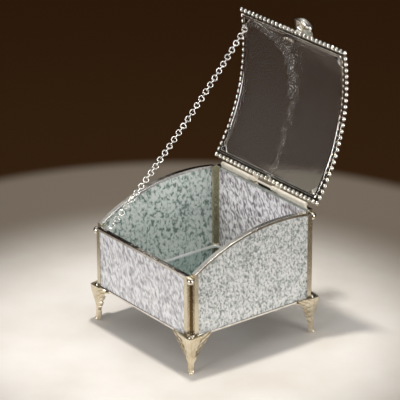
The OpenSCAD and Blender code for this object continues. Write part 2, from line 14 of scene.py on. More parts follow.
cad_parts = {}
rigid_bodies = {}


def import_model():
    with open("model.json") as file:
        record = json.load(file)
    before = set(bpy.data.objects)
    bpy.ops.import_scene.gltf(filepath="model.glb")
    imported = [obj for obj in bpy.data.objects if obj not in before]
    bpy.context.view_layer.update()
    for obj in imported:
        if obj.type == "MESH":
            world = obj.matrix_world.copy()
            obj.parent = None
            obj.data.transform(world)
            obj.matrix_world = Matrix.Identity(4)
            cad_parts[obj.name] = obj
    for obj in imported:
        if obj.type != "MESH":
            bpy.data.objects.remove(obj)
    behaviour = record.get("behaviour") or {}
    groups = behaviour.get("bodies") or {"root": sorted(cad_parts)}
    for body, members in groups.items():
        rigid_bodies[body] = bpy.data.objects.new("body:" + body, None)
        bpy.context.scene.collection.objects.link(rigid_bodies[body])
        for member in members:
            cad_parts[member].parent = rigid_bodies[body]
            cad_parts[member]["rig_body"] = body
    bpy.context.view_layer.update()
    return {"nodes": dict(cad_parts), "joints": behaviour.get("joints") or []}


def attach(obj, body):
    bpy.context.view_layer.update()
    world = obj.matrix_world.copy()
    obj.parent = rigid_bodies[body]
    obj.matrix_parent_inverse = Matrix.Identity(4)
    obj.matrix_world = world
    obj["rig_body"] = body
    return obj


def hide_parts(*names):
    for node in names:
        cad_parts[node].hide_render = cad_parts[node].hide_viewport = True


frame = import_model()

JOINTS = {joint["name"]: joint for joint in frame["joints"]}
MM = 0.001
IMAGE = 400
LOG = logging.getLogger("casket")
# Sockets of a Mix node that mixes colours: its share, its two colours and its result.
SHARE, FIRST, SECOND, MIXED = 0, 6, 7, 2
# A copied CAD node: its doubles lie within MERGE_M metres, and the angles are in degrees.
MERGE_M = 2e-6
FLAT_ANGLE = 0.3
SMOOTH_ANGLE = 30.0
BEVEL_ANGLE = 40.0


class Side(Enum):
    """Which way a row or a corner lies from the middle."""

    LOW = -1
    HIGH = 1


# ---- small tools -------------------------------------------------------------------------------


def linear(code: str) -> tuple[float, float, float, float]:
    """Turns an sRGB hex colour into linear light.

    Args:
        code: Colour such as "#D8D2C4".

    Returns:
        Red, green, blue and an alpha of 1.
    """
    parts = [int(code[i : i + 2], 16) / 255 for i in (1, 3, 5)]
    low = [c / 12.92 if c <= 0.04045 else ((c + 0.055) / 1.055) ** 2.4 for c in parts]
    return (low[0], low[1], low[2], 1.0)


def add(
    tree: bpy.types.NodeTree,
    kind: str,
    inputs: dict[str | int, object] | None = None,
    stops: Sequence[tuple[float, str]] = (),
    **settings: object,
) -> bpy.types.Node:
    """Adds one shader node with its settings, values and links.

    Args:
        tree: Node tree that gets the node.
        kind: Blender's name of the node type.
        inputs: Value or linked output for each input, by name or number.
        stops: Place and hex colour of each stop, for a colour ramp.
        settings: Properties of the node.

    Returns:
        The new node.
    """
    node = tree.nodes.new(kind)
    for key, value in settings.items():
        setattr(node, key, value)
    for key, value in (inputs or {}).items():
        socket = node.inputs[key]
        if isinstance(value, bpy.types.NodeSocket):
            tree.links.new(value, socket)
        else:
            socket.default_value = value
    for i, (place, code) in enumerate(stops):
        stop = node.color_ramp.elements[i] if i < 2 else node.color_ramp.elements.new(place)
        stop.position = place
        stop.color = linear(code)
    return node


def new_material(name: str) -> tuple[bpy.types.Material, bpy.types.NodeTree, bpy.types.NodeSocket]:
    """Starts a material.

    Args:
        name: What the material is.

    Returns:
        The material, its empty node tree and the object's coordinates in metres.
    """
    material = bpy.data.materials.new(name)
    material.use_nodes = True
    tree = material.node_tree
    tree.nodes.clear()
    coordinates = add(tree, "ShaderNodeTexCoord").outputs["Object"]
    return material, tree, coordinates


def close_material(tree: bpy.types.NodeTree, inputs: dict[str | int, object]) -> None:
    """Ends a material with its shader and output.

    Args:
        tree: Node tree of the material.
        inputs: Values and links of the shader.
    """
    shader = add(tree, "ShaderNodeBsdfPrincipled", inputs)
    add(tree, "ShaderNodeOutputMaterial", {"Surface": shader.outputs["BSDF"]})


def mesh_object(name: str, points: np.ndarray, faces: Sequence[Sequence[int]]) -> bpy.types.Object:
    """Makes a smooth mesh object at the origin.

    Args:
        name: Name of the piece.
        points: One row of x, y, z in millimetres per vertex.
        faces: Vertex numbers of each face.

    Returns:
        The object, linked to the scene.
    """
    mesh = bpy.data.meshes.new(name)
    mesh.from_pydata((points * MM).tolist(), [], faces)
    mesh.shade_smooth()
    mesh.validate()
    made = bpy.data.objects.new(name, mesh)
    bpy.context.scene.collection.objects.link(made)
    return made


def ring_faces(rows: int, ring: int, first: int = 0, closed: bool = False) -> list[tuple[int, ...]]:
    """Faces of a tube of closed rings, with a flat cap at both ends or joined end to end.

    Args:
        rows: Number of rings.
        ring: Vertices in each ring.
        first: Number of the tube's first vertex.
        closed: True where the last ring joins the first, as in a hoop.

    Returns:
        Quads between the rings, and one polygon for each cap of an open tube.
    """
    j, i = np.meshgrid(np.arange(rows if closed else rows - 1), np.arange(ring), indexing="ij")
    k, m = (i + 1) % ring, (j + 1) % rows
    quads = np.stack([j * ring + i, j * ring + k, m * ring + k, m * ring + i], axis=-1)
    walls = [tuple(q) for q in (quads.reshape(-1, 4) + first).tolist()]
    if closed:
        return walls
    low = (first + ring - 1 - np.arange(ring)).tolist()
    high = (first + (rows - 1) * ring + np.arange(ring)).tolist()
    return walls + [tuple(low), tuple(high)]


def give(piece: bpy.types.Object, values: np.ndarray, name: str) -> None:
    """Stores one number per vertex for the material.

    Args:
        piece: Mesh object.
        values: One value per vertex.
        name: Name of the attribute.
    """
    attribute = piece.data.attributes.new(name, "FLOAT", "POINT")
    attribute.data.foreach_set("value", values.astype(np.float32).ravel())


def outward(piece: bpy.types.Object) -> None:
    """Turns all faces of a closed mesh outward.

    Args:
        piece: Mesh object.
    """
    work = bmesh.new()
    work.from_mesh(piece.data)
    bmesh.ops.recalc_face_normals(work, faces=work.faces)
    work.to_mesh(piece.data)
    work.free()


def seat(
    piece: bpy.types.Object,
    material: bpy.types.Material,
    body: str,
    slot: str,
    *nodes: str,
    sharp: float = 0.0,
) -> None:
    """Finishes a new piece and gives it its body and the nodes that it stands for.

    Args:
        piece: The new piece.
        material: Its finish.
        body: Body that it rides on.
        slot: Record's material slot; not used.
        nodes: CAD nodes that it replaces.
        sharp: Degrees above which its edges stay sharp, or 0 where all of them are smooth.
    """
    outward(piece)
    piece.data.materials.append(material)
    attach(piece, body)
    if nodes:
        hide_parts(*nodes)
    if sharp:
        piece.data.set_sharp_from_angle(angle=math.radians(sharp))
    LOG.info("%s made for %s", piece.name, body)


def smooth_step(value: np.ndarray, start: float = 0.0, length: float = 1.0) -> np.ndarray:
    """Rises from 0 to 1 as 3c^2 - 2c^3, with c the share of the length gone by since the start."""
    c = np.clip((value - start) / length, 0, 1)
    return c * c * (3 - 2 * c)


def circle(count: int) -> np.ndarray:
    """Angles in radians that share a full turn evenly, from 0."""
    return np.linspace(0, 2 * math.pi, count + 1)[:-1]


def boxy(wave: np.ndarray, power: float) -> np.ndarray:
    """Sign of a sine or cosine times its size to a power, as in a superellipse."""
    return np.sign(wave) * np.abs(wave) ** power


def round_frame(
    half: np.ndarray, low: np.ndarray, high: np.ndarray, steps: int
) -> tuple[np.ndarray, np.ndarray]:
    """Carries a section round a frame with mitred corners, each point on its own rectangle.

    From a corner p to the next corner q a point lies at p + t (q - p), with t from 0 to 1.

    Args:
        half: Half width of each point's rectangle.
        low: Its lower edge.
        high: Its upper edge.
        steps: Sections along each side.

    Returns:
        Places across and along, one row per section.
    """
    t = np.linspace(0, 1, steps + 1)[:-1][:, None]
    corners = [(-half, low), (half, low), (half, high), (-half, high)]
    across, along = [], []
    for p, q in zip(corners, corners[1:] + corners[:1]):
        across.append(p[0] + t * (q[0] - p[0]))
        along.append(p[1] + t * (q[1] - p[1]))
    return np.concatenate(across), np.concatenate(along)


def dress(names: Sequence[str], material: bpy.types.Material) -> None:
    """Gives CAD nodes their finish.

    Args:
        names: Nodes to dress.
        material: Their finish.
    """
    for name in names:
        node = frame["nodes"][name]
        if not node.material_slots:
            node.data.materials.append(material)
        for place in node.material_slots:
            place.material = material
        LOG.info("%s dressed", name)


def softened(name: str, radius: float, material: bpy.types.Material) -> bpy.types.Object:
    """Copies a CAD node with its loose triangles merged and its sharp edges rounded.

    Args:
        name: Node that the copy replaces.
        radius: Rounding in millimetres.
        material: Finish of the copy.

    Returns:
        The copy, which rides on the node's body.
    """
    node = frame["nodes"][name]
    mesh = node.data.copy()
    work = bmesh.new()
    work.from_mesh(mesh)
    bmesh.ops.remove_doubles(work, verts=work.verts, dist=MERGE_M)
    bmesh.ops.dissolve_limit(
        work, angle_limit=math.radians(FLAT_ANGLE), verts=work.verts, edges=work.edges)
    work.to_mesh(mesh)
    work.free()
    mesh.materials.clear()
    mesh.materials.append(material)
    mesh.shade_smooth()
    mesh.set_sharp_from_angle(angle=math.radians(SMOOTH_ANGLE))
    piece = bpy.data.objects.new(name + "_rounded", mesh)
    bpy.context.scene.collection.objects.link(piece)
    bevel = piece.modifiers.new("rounded edges", "BEVEL")
    bevel.width = radius * MM
    bevel.segments = 2
    bevel.limit_method = "ANGLE"
    bevel.angle_limit = math.radians(BEVEL_ANGLE)
    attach(piece, node["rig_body"])
    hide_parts(name)
    return piece


# ---- finishes ----------------------------------------------------------------------------------
# The sizes and depths of their patterns are in millimetres, and their leans in degrees.


@dataclass(frozen=True)
class SilverPlate:
    """Silver electroplated on drawn brass and hand polished.

    The eye gets a cream white mirror that wavers, because the thin channel was rolled and
    soldered by hand, with warm grey tarnish left where the polishing cloth missed. The cloth's
    scratches are drawn far coarser than they are, so that they show.
    """

    name: str = "polished silver plate"
    tone: str = "#EDEAE4"
    tarnish: str = "#7C6F5C"
    tarnish_share: float = 0.4
    roughness: float = 0.1
    wave: float = 6.5
    wave_depth: float = 0.3
    mottle: float = 7.0
    scratch: float = 0.5
    scratch_depth: float = 0.004

    def build(self) -> bpy.types.Material:
        """Makes the material.

        Returns:
            The finish, with its scales worked out from millimetres.
        """
        material, tree, place = new_material(self.name)
        wave = add(tree, "ShaderNodeTexNoise", {
            "Vector": place, "Scale": 1 / (self.wave * MM), "Detail": 1.5})
        scratch = add(tree, "ShaderNodeTexNoise", {
            "Vector": place, "Scale": 1 / (self.scratch * MM), "Detail": 3.0})
        mottle = add(tree, "ShaderNodeTexNoise", {
            "Vector": place, "Scale": 1 / (self.mottle * MM), "Detail": 4.0})
        share = add(tree, "ShaderNodeMapRange", {
            "Value": mottle.outputs["Fac"], "From Min": 0.48, "From Max": 0.72, "To Max": self.tarnish_share})
        colour = add(tree, "ShaderNodeMix", {
            SHARE: share.outputs["Result"], FIRST: linear(self.tone), SECOND: linear(self.tarnish)},
            data_type="RGBA")
        rough = add(tree, "ShaderNodeMapRange", {
            "Value": scratch.outputs["Fac"], "From Min": 0.3, "From Max": 0.7,
            "To Min": self.roughness * 0.75, "To Max": self.roughness * 1.5})
        bump = add(tree, "ShaderNodeBump", {
            "Strength": 1.0, "Distance": self.wave_depth * MM, "Height": wave.outputs["Fac"]})
        fine = add(tree, "ShaderNodeBump", {
            "Strength": 0.6, "Distance": self.scratch_depth * MM, "Height": scratch.outputs["Fac"],
            "Normal": bump.outputs["Normal"]})
        close_material(tree, {
            "Base Color": colour.outputs[MIXED], "Metallic": 1.0, "Roughness": rough.outputs["Result"],
            "Normal": fine.outputs["Normal"]})
        return material


@dataclass(frozen=True)
class CastSilver:
    """Silver plate on a zinc casting, satin from the tumbling barrel, dark in the carved lines.

    The eye gets a soft cream shine on the ridges and brown-black painted shade in the lines between
    the lobes. The barrel's grain is drawn coarser than it is, so that it shows.
    """

    name: str = "satin cast silver plate"
    tone: str = "#EDE4D0"
    warm: str = "#D2C3A2"
    # line is the colour of the painted shade in the carved lines, the veins' troughs and on the ledge.
    line: str = "#3E3323"
    roughness: float = 0.3
    grain: float = 0.6
    grain_depth: float = 0.02
    cloud: float = 5.0

    def build(self) -> bpy.types.Material:
        """Makes the material, which reads the piece's own attribute of painted shade.

        Returns:
            The finish.
        """
        material, tree, place = new_material(self.name)
        painted_shade = add(tree, "ShaderNodeAttribute", attribute_name="painted_shade")
        grain = add(tree, "ShaderNodeTexNoise", {
            "Vector": place, "Scale": 1 / (self.grain * MM), "Detail": 4.0})
        cloud = add(tree, "ShaderNodeTexNoise", {
            "Vector": place, "Scale": 1 / (self.cloud * MM), "Detail": 3.0})
        warm = add(tree, "ShaderNodeValToRGB", {"Fac": cloud.outputs["Fac"]},
                   stops=[(0.35, self.tone), (0.75, self.warm)])
        # The piece's attribute darkens the colour towards line: painted shade in the carved lines, the veins'
        # troughs and on the ledge.
        colour = add(tree, "ShaderNodeMix", {
            SHARE: painted_shade.outputs["Fac"], FIRST: warm.outputs["Color"], SECOND: linear(self.line)},
            data_type="RGBA")
        rough = add(tree, "ShaderNodeMapRange", {
            "Value": grain.outputs["Fac"], "From Min": 0.3, "From Max": 0.7,
            "To Min": self.roughness * 0.8, "To Max": self.roughness * 1.3})
        bump = add(tree, "ShaderNodeBump", {
            "Strength": 0.7, "Distance": self.grain_depth * MM, "Height": grain.outputs["Fac"]})
        close_material(tree, {
            "Base Color": colour.outputs[MIXED], "Metallic": 1.0, "Roughness": rough.outputs["Result"],
            "Normal": bump.outputs["Normal"]})
        return material


@dataclass(frozen=True)
class SoftSolder:
    """Tin solder that ran smooth and set bright, with a puckered skin.

    The eye gets bright cream blobs, and between them, from seam_low up to seam_high, a brown seam.
    """

    name: str = "bright soft solder"
    tone: str = "#F0EBE0"
    flux: str = "#A08A60"
    seam: str = "#6B5536"
    roughness: float = 0.16
    pucker: float = 2.2
    pucker_depth: float = 0.12
    seam_low: float = 26.0
    seam_high: float = 58.0
    low_fade: float = 0.6
    high_fade: float = 1.0

    def build(self) -> bpy.types.Material:
        """Makes the material, bright above and below the seam's two heights and brown between them.

        Returns:
            The finish.
        """
        material, tree, place = new_material(self.name)
        skin = add(tree, "ShaderNodeTexNoise", {
            "Vector": place, "Scale": 1 / (self.pucker * MM), "Detail": 2.0})
        tint = add(tree, "ShaderNodeValToRGB", {"Fac": skin.outputs["Fac"]},
                   stops=[(0.3, self.flux), (0.5, self.tone)])
        split = add(tree, "ShaderNodeSeparateXYZ", {"Vector": place})
        low = add(tree, "ShaderNodeMapRange", {
            "Value": split.outputs["Z"], "From Min": (self.seam_low - self.low_fade) * MM,
            "From Max": self.seam_low * MM})
        high = add(tree, "ShaderNodeMapRange", {
            "Value": split.outputs["Z"], "From Min": self.seam_high * MM,
            "From Max": (self.seam_high + self.high_fade) * MM, "To Min": 1.0, "To Max": 0.0})
        share = add(tree, "ShaderNodeMath", {0: low.outputs["Result"], 1: high.outputs["Result"]},
                    operation="MULTIPLY")
        colour = add(tree, "ShaderNodeMix", {
            SHARE: share.outputs["Value"], FIRST: tint.outputs["Color"], SECOND: linear(self.seam)},
            data_type="RGBA")
        bump = add(tree, "ShaderNodeBump", {
            "Strength": 1.0, "Distance": self.pucker_depth * MM, "Height": skin.outputs["Fac"]})
        close_material(tree, {
            "Base Color": colour.outputs[MIXED], "Metallic": 1.0, "Roughness": self.roughness,
            "Normal": bump.outputs["Normal"]})
        return material


@dataclass(frozen=True)
class RippledGlass:
    """Rolled cathedral glass, pressed with a water pattern while it was hot.

    The eye gets a pale pane crowded with slanted white drops, which are painted highlights, and
    darker dips between them, which are painted shade, with only a dim view of what stands behind.
    The ripples lie in the pane's plane, long along Z and leaning by some degrees, and a slow cloud
    makes them paler here and darker there.
    """

    name: str
    # body is the glass's colour; shade and dark are painted shade in the dips, and light the painted
    # highlight.
    body: str
    shade: str
    dark: str
    cell: float
    stretch: float
    lean: float = 18.0
    light: str = "#FFFFFF"
    levels: tuple[float, float, float, float] = (0.36, 0.43, 0.52, 0.6)
    cloud: float = 14.0
    sway: float = 0.12
    drops: float = 0.25
    drop_scale: float = 0.9
    drop_edge: tuple[float, float] = (0.25, 0.5)
    depth: float = 0.3
    see_through: float = 0.25
    roughness: float = 0.2
    across: bool = False

    def build(self) -> bpy.types.Material:
        """Makes the material.

        The ripples' height, plus a sway by the cloud, picks one of four colours: painted shade in the
        dips, rising to painted highlight on the crests. The drops are the middles of chosen Voronoi cells,
        and are painted glints as light as the lightest colour.

        Returns:
            The finish.
        """
        material, tree, place = new_material(self.name)
        lean = math.radians(self.lean)
        size = self.cell * MM
        plane = add(tree, "ShaderNodeMapping", {
            "Vector": place, "Rotation": (lean, 0, 0) if self.across else (0, lean, 0),
            "Scale": (size, size, size * self.stretch)}, vector_type="TEXTURE")
        ripple = add(tree, "ShaderNodeTexNoise", {
            "Vector": plane.outputs["Vector"], "Scale": 1.0, "Detail": 1.6, "Roughness": 0.6,
            "Distortion": 0.5})
        cloud = add(tree, "ShaderNodeTexNoise", {
            "Vector": place, "Scale": 1 / (self.cloud * MM), "Detail": 1.0})
        level = add(tree, "ShaderNodeMath", {
            0: cloud.outputs["Fac"], 1: self.sway, 2: -self.sway / 2}, operation="MULTIPLY_ADD")
        height = add(tree, "ShaderNodeMath", {
            0: ripple.outputs["Fac"], 1: level.outputs["Value"]}, operation="ADD")
        # Painted light: the ramp runs from painted shade in the ripples' dips to painted highlight on the
        # crests.
        colours = (self.dark, self.shade, self.body, self.light)
        tone = add(tree, "ShaderNodeValToRGB", {"Fac": height.outputs["Value"]},
                   stops=list(zip(self.levels, colours)))
        # Painted glints: the middles of chosen cells are lit up to light.
        cells = add(tree, "ShaderNodeTexVoronoi", {
            "Vector": plane.outputs["Vector"], "Scale": self.drop_scale}, feature="F1")
        lot = add(tree, "ShaderNodeSeparateColor", {"Color": cells.outputs["Color"]})
        near = add(tree, "ShaderNodeMapRange", {
            "Value": cells.outputs["Distance"], "From Min": self.drop_edge[0],
            "From Max": self.drop_edge[1], "To Min": 1.0, "To Max": 0.0})
        chosen = add(tree, "ShaderNodeMapRange", {
            "Value": lot.outputs["Red"], "From Min": 1 - self.drops, "From Max": 1 - self.drops * 0.6})
        drop = add(tree, "ShaderNodeMath", {
            0: near.outputs["Result"], 1: chosen.outputs["Result"]}, operation="MULTIPLY")
        colour = add(tree, "ShaderNodeMix", {
            SHARE: drop.outputs["Value"], FIRST: tone.outputs["Color"], SECOND: linear(self.light)},
            data_type="RGBA")
        bump = add(tree, "ShaderNodeBump", {
            "Strength": 1.0, "Distance": self.depth * MM, "Height": ripple.outputs["Fac"]})
        close_material(tree, {
            "Base Color": colour.outputs[MIXED], "Roughness": self.roughness, "IOR": 1.5,
            "Transmission Weight": self.see_through, "Normal": bump.outputs["Normal"]})
        return material


@dataclass(frozen=True)
class ClearGlass:
    """Bent float glass of the lid, nearly colourless, with a trace of haze and dried water drops.

    The eye gets soft grey light in the pane, and a lamp's gleam that breaks into drops.
    """

    name: str = "clear bent glass"
    tint: str = "#F4F6F4"
    dust: str = "#E8ECE9"
    haze: float = 12.0
    drop: float = 3.4
    drop_h: float = 0.025
    drop_lean: float = 14.0
    see_through: float = 0.97

    def build(self) -> bpy.types.Material:
        """Makes the material, with drops that are twice as long as wide and lean a little.

        Returns:
            The finish.
        """
        material, tree, place = new_material(self.name)
        haze = add(tree, "ShaderNodeTexNoise", {
            "Vector": place, "Scale": 1 / (self.haze * MM), "Detail": 5.0})
        rough = add(tree, "ShaderNodeMapRange", {
            "Value": haze.outputs["Fac"], "From Min": 0.4, "From Max": 0.75, "To Min": 0.0, "To Max": 0.06})
        tone = add(tree, "ShaderNodeValToRGB", {"Fac": haze.outputs["Fac"]},
                   stops=[(0.3, self.tint), (0.8, self.dust)])
        spread = add(tree, "ShaderNodeMapping", {
            "Vector": place, "Rotation": (0, math.radians(self.drop_lean), 0),
            "Scale": (self.drop * MM, self.drop * MM, 2 * self.drop * MM)}, vector_type="TEXTURE")
        drops = add(tree, "ShaderNodeTexVoronoi", {
            "Vector": spread.outputs["Vector"], "Scale": 1.0}, feature="F1")
        bump = add(tree, "ShaderNodeBump", {
            "Strength": 1.0, "Distance": self.drop_h * MM, "Height": drops.outputs["Distance"]})
        close_material(tree, {
            "Base Color": tone.outputs["Color"], "Roughness": rough.outputs["Result"], "IOR": 1.5,
            "Transmission Weight": self.see_through, "Normal": bump.outputs["Normal"]})
        return material


@dataclass(frozen=True)
class MirrorGlass:
    """Silvered mirror of the floor.

    The eye gets a greenish grey reflection, tinted by the mirror's own glass, with wiped streaks.
    """

    name: str = "silvered mirror"
    tone: str = "#DCE8E5"
    wiped: str = "#C6D4D1"
    streak_l: float = 25.0
    streak_w: float = 6.25

    def build(self) -> bpy.types.Material:
        """Makes the material.

        Returns:
            The finish.
        """
        material, tree, place = new_material(self.name)
        spread = add(tree, "ShaderNodeMapping", {
            "Vector": place, "Scale": (1, self.streak_l / self.streak_w, 1)})
        wipe = add(tree, "ShaderNodeTexNoise", {
            "Vector": spread.outputs["Vector"], "Scale": 1 / (self.streak_l * MM), "Detail": 4.0})
        tone = add(tree, "ShaderNodeValToRGB", {"Fac": wipe.outputs["Fac"]},
                   stops=[(0.3, self.tone), (0.8, self.wiped)])
        rough = add(tree, "ShaderNodeMapRange", {
            "Value": wipe.outputs["Fac"], "From Min": 0.45, "From Max": 0.75, "To Min": 0.02, "To Max": 0.1})
        close_material(tree, {
            "Base Color": tone.outputs["Color"], "Metallic": 1.0, "Roughness": rough.outputs["Result"]})
        return material


@dataclass(frozen=True)
class RolledSheet:
    """Rolled steel sheet under the mirror.

    The eye gets a matt grey with faint lines along the way it was rolled.
    """

    name: str = "rolled steel sheet"
    tone: str = "#8E8C87"
    shadow: str = "#77746E"
    roughness: float = 0.38
    line_l: float = 30.0
    line_w: float = 1.0
    line_depth: float = 0.01

    def build(self) -> bpy.types.Material:
        """Makes the material.

        Returns:
            The finish.
        """
        material, tree, place = new_material(self.name)
        lines = add(tree, "ShaderNodeMapping", {
            "Vector": place, "Scale": (1, self.line_l / self.line_w, 1)})
        roll = add(tree, "ShaderNodeTexNoise", {
            "Vector": lines.outputs["Vector"], "Scale": 1 / (self.line_l * MM), "Detail": 5.0})
        tone = add(tree, "ShaderNodeValToRGB", {"Fac": roll.outputs["Fac"]},
                   stops=[(0.3, self.shadow), (0.7, self.tone)])
        bump = add(tree, "ShaderNodeBump", {
            "Strength": 0.5, "Distance": self.line_depth * MM, "Height": roll.outputs["Fac"]})
        close_material(tree, {
            "Base Color": tone.outputs["Color"], "Metallic": 1.0, "Roughness": self.roughness,
            "Normal": bump.outputs["Normal"]})
        return material


@dataclass(frozen=True)
class PalePlaster:
    """Pale plaster table top, smoothed with a trowel.

    The eye gets a pale floor with faint clouds and a painted pool of light round the box, which
    falls off to outer, painted shade, and then fades into a brown room. The plaster's grit is drawn
    coarser than it is, so that it shows.
    """

    name: str = "pale plaster table"
    tone: str = "#E3DFD9"
    cloud: str = "#D6D0C7"
    # outer is painted shade: the floor's tone outside the painted pool of light round the box.
    outer: str = "#6C6358"
    room: str = "#2E1D0E"
    roughness: float = 0.8
    trowel: float = 60.0
    grit: float = 1.2
    grit_depth: float = 0.05
    middle: tuple[float, float, float] = (0.0, -20.0, 0.0)
    # Distances from middle, in millimetres, over which the painted pool of light falls off to outer.
    painted_light_pool: tuple[float, float] = (95.0, 215.0)
    edge: tuple[float, float] = (268.0, 292.0)

    def fade(
        self, tree: bpy.types.NodeTree, way: bpy.types.NodeSocket, ends: tuple[float, float]
    ) -> bpy.types.NodeSocket:
        """Rises from 0 to 1 between two distances from the middle of the painted pool of light, as a smooth
        step.

        Args:
            tree: Node tree of the material.
            way: Distance from the middle, in metres.
            ends: The two distances in millimetres.

        Returns:
            The share.
        """
        step = add(tree, "ShaderNodeMapRange", {
            "Value": way, "From Min": ends[0] * MM, "From Max": ends[1] * MM},
            interpolation_type="SMOOTHSTEP")
        return step.outputs["Result"]

    def build(self) -> bpy.types.Material:
        """Makes the material.

        Returns:
            The finish.
        """
        material, tree, place = new_material(self.name)
        trowel = add(tree, "ShaderNodeTexNoise", {
            "Vector": place, "Scale": 1 / (self.trowel * MM), "Detail": 6.0})
        grit = add(tree, "ShaderNodeTexNoise", {
            "Vector": place, "Scale": 1 / (self.grit * MM), "Detail": 3.0})
        tone = add(tree, "ShaderNodeValToRGB", {"Fac": trowel.outputs["Fac"]},
                   stops=[(0.35, self.tone), (0.7, self.cloud)])
        middle = tuple(v * MM for v in self.middle)
        distance = add(tree, "ShaderNodeVectorMath", {0: place, 1: middle}, operation="DISTANCE")
        way = distance.outputs["Value"]
        # Painted pool of light: the floor's tone darkens to outer's painted shade away from the middle.
        pale = add(tree, "ShaderNodeMix", {
            SHARE: self.fade(tree, way, self.painted_light_pool), FIRST: tone.outputs["Color"],
            SECOND: linear(self.outer)}, data_type="RGBA")
        colour = add(tree, "ShaderNodeMix", {
            SHARE: self.fade(tree, way, self.edge), FIRST: pale.outputs[MIXED],
            SECOND: linear(self.room)}, data_type="RGBA")
        bump = add(tree, "ShaderNodeBump", {
            "Strength": 0.4, "Distance": self.grit_depth * MM, "Height": grit.outputs["Fac"]})
        close_material(tree, {
            "Base Color": colour.outputs[MIXED], "Roughness": self.roughness, "Specular IOR Level": 0.0,
            "Normal": bump.outputs["Normal"]})
        return material


# The four panes are cut from sheets whose ripples differ in size, lean and tint. Their colours are
# also painted light and shade: the back pane's are darker, painted shade, and the left pane's,
# seen from inside, are lighter, painted light that the lamps don't give its inner face.
PANES = {
    "front_glass": RippledGlass(
        "rippled glass, front", body="#E4E3E3", shade="#CCCACC", dark="#B0AEB2", cell=2.1,
        stretch=2.0, lean=-24, drops=0.35),
    # Darker colours than the front pane's: painted shade.
    "back_glass": RippledGlass(
        "rippled glass, back", light="#FFFBFB", body="#DED8D8", shade="#B0A7A9", dark="#827B7E",
        cell=2.2, stretch=1.8, lean=-24, see_through=0.15),
    # Lighter colours: painted light on the pane's inner face, which gets little lamp light.
    "left_glass": RippledGlass(
        "rippled glass, left", light="#FAFFFC", body="#EAF2EE", shade="#BACAC3", dark="#84958D",
        cell=2.5, stretch=1.3, lean=14, drops=0.35, see_through=0.15, across=True),
    "right_glass": RippledGlass(
        "rippled glass, right", body="#DCE0DE", shade="#C2C8C5", dark="#949C9A", cell=1.25,
        stretch=1.5, drops=0.3, across=True, levels=(0.36, 0.43, 0.51, 0.6)),
}


def built(kind: type, **values: object) -> bpy.types.Material:
    """Field of a dataclass that builds a finish.

    Args:
        kind: Class of the finish.
        values: What differs from the class's own values.

    Returns:
        The field, whose value is the finish's material.
    """
    return field(default_factory=lambda: kind(**values).build())


@dataclass
class Finishes:
    """Every finish of the box, built once."""

    silver: bpy.types.Material = built(SilverPlate)
    upright: bpy.types.Material = built(
        SilverPlate, name="gilded silver upright", tone="#E0D8C4", tarnish="#A59678", roughness=0.2,
        wave=9.0, wave_depth=0.05)
    beads: bpy.types.Material = built(
        SilverPlate, name="burnished silver beading", tone="#F1EDE4", tarnish="#B7AA90",
        tarnish_share=0.2, roughness=0.07, wave=2.0, wave_depth=0.02)
    chain: bpy.types.Material = built(
        SilverPlate, name="silver plated wire", tone="#FCFAF5", tarnish="#B5AA94",
        tarnish_share=0.25, roughness=0.2, wave=1.5, wave_depth=0.01, mottle=3.0)
    hinge: bpy.types.Material = built(
        SilverPlate, name="silver plated hinge tube", tone="#FBF5E8", tarnish="#CFC4AC",
        tarnish_share=0.3, roughness=0.5, wave=3.0, wave_depth=0.03, mottle=4.0)
    knob: bpy.types.Material = built(
        SilverPlate, name="turned silver knob", tone="#EDE8DE", tarnish="#8E8168",
        tarnish_share=0.3, roughness=0.08, wave=3.0, wave_depth=0.02, mottle=4.0)
    feet: bpy.types.Material = built(CastSilver)
    solder: bpy.types.Material = built(SoftSolder)
    seam: bpy.types.Material = built(
        SilverPlate, name="bright tinned seam", tone="#FFFFFF", tarnish="#D9D5CB", roughness=0.42,
        wave=4.0, wave_depth=0.03)
    panes: dict[str, bpy.types.Material] = field(
        default_factory=lambda: {pane: glass.build() for pane, glass in PANES.items()})
    clear: bpy.types.Material = built(ClearGlass)
    mirror: bpy.types.Material = built(MirrorGlass)
    sheet: bpy.types.Material = built(RolledSheet)


# ---- sub-assemblies ----------------------------------------------------------------------------


@dataclass
class Hinge:
    """The lid's hinge axis and open angle, from the frame's joint, in millimetres and degrees."""

    y: float = JOINTS["lid_hinge"]["pos_m"][1] / MM
    z: float = JOINTS["lid_hinge"]["pos_m"][2] / MM
    opened: float = JOINTS["lid_hinge"]["range_deg"][1]

    def swing(self, points: np.ndarray) -> np.ndarray:
        """Swings points of the shut lid to the open pose.

        Each point turns about the axis along X by minus the open angle:
        y' = y0 + dy cos t + dz sin t and z' = z0 - dy sin t + dz cos t.

        Args:
            points: One row of x, y, z per point, shut.

        Returns:
            The same points, open.
        """
        t = math.radians(self.opened)
        dy, dz = points[:, 1] - self.y, points[:, 2] - self.z
        return np.stack([
            points[:, 0],
            self.y + dy * math.cos(t) + dz * math.sin(t),
            self.z - dy * math.sin(t) + dz * math.cos(t),
        ], axis=1)


@dataclass
class Arch:
    """The arc that the lid follows, and the hinge that opens it.

    Radii in millimetres start from the arc's centre, and angles from its crown, with the front
    below 0.
    """

    hinge: Hinge
    radius: float = 124.0
    y: float = 20.5
    z: float = -39.37

    def place(self, x: np.ndarray, r: np.ndarray, a: np.ndarray) -> np.ndarray:
        """Points of the open lid. Shut they lie at y = y0 + r sin a and z = z0 + r cos a.

        Args:
            x: Place across in millimetres.
            r: Radius from the arc's centre.
            a: Angle from the crown in radians.

        Returns:
            One row per point.
        """
        x, r, a = np.broadcast_arrays(x, r, a)
        shut = np.stack([x, self.y + r * np.sin(a), self.z + r * np.cos(a)], axis=-1)
        return self.hinge.swing(shut.reshape(-1, 3))


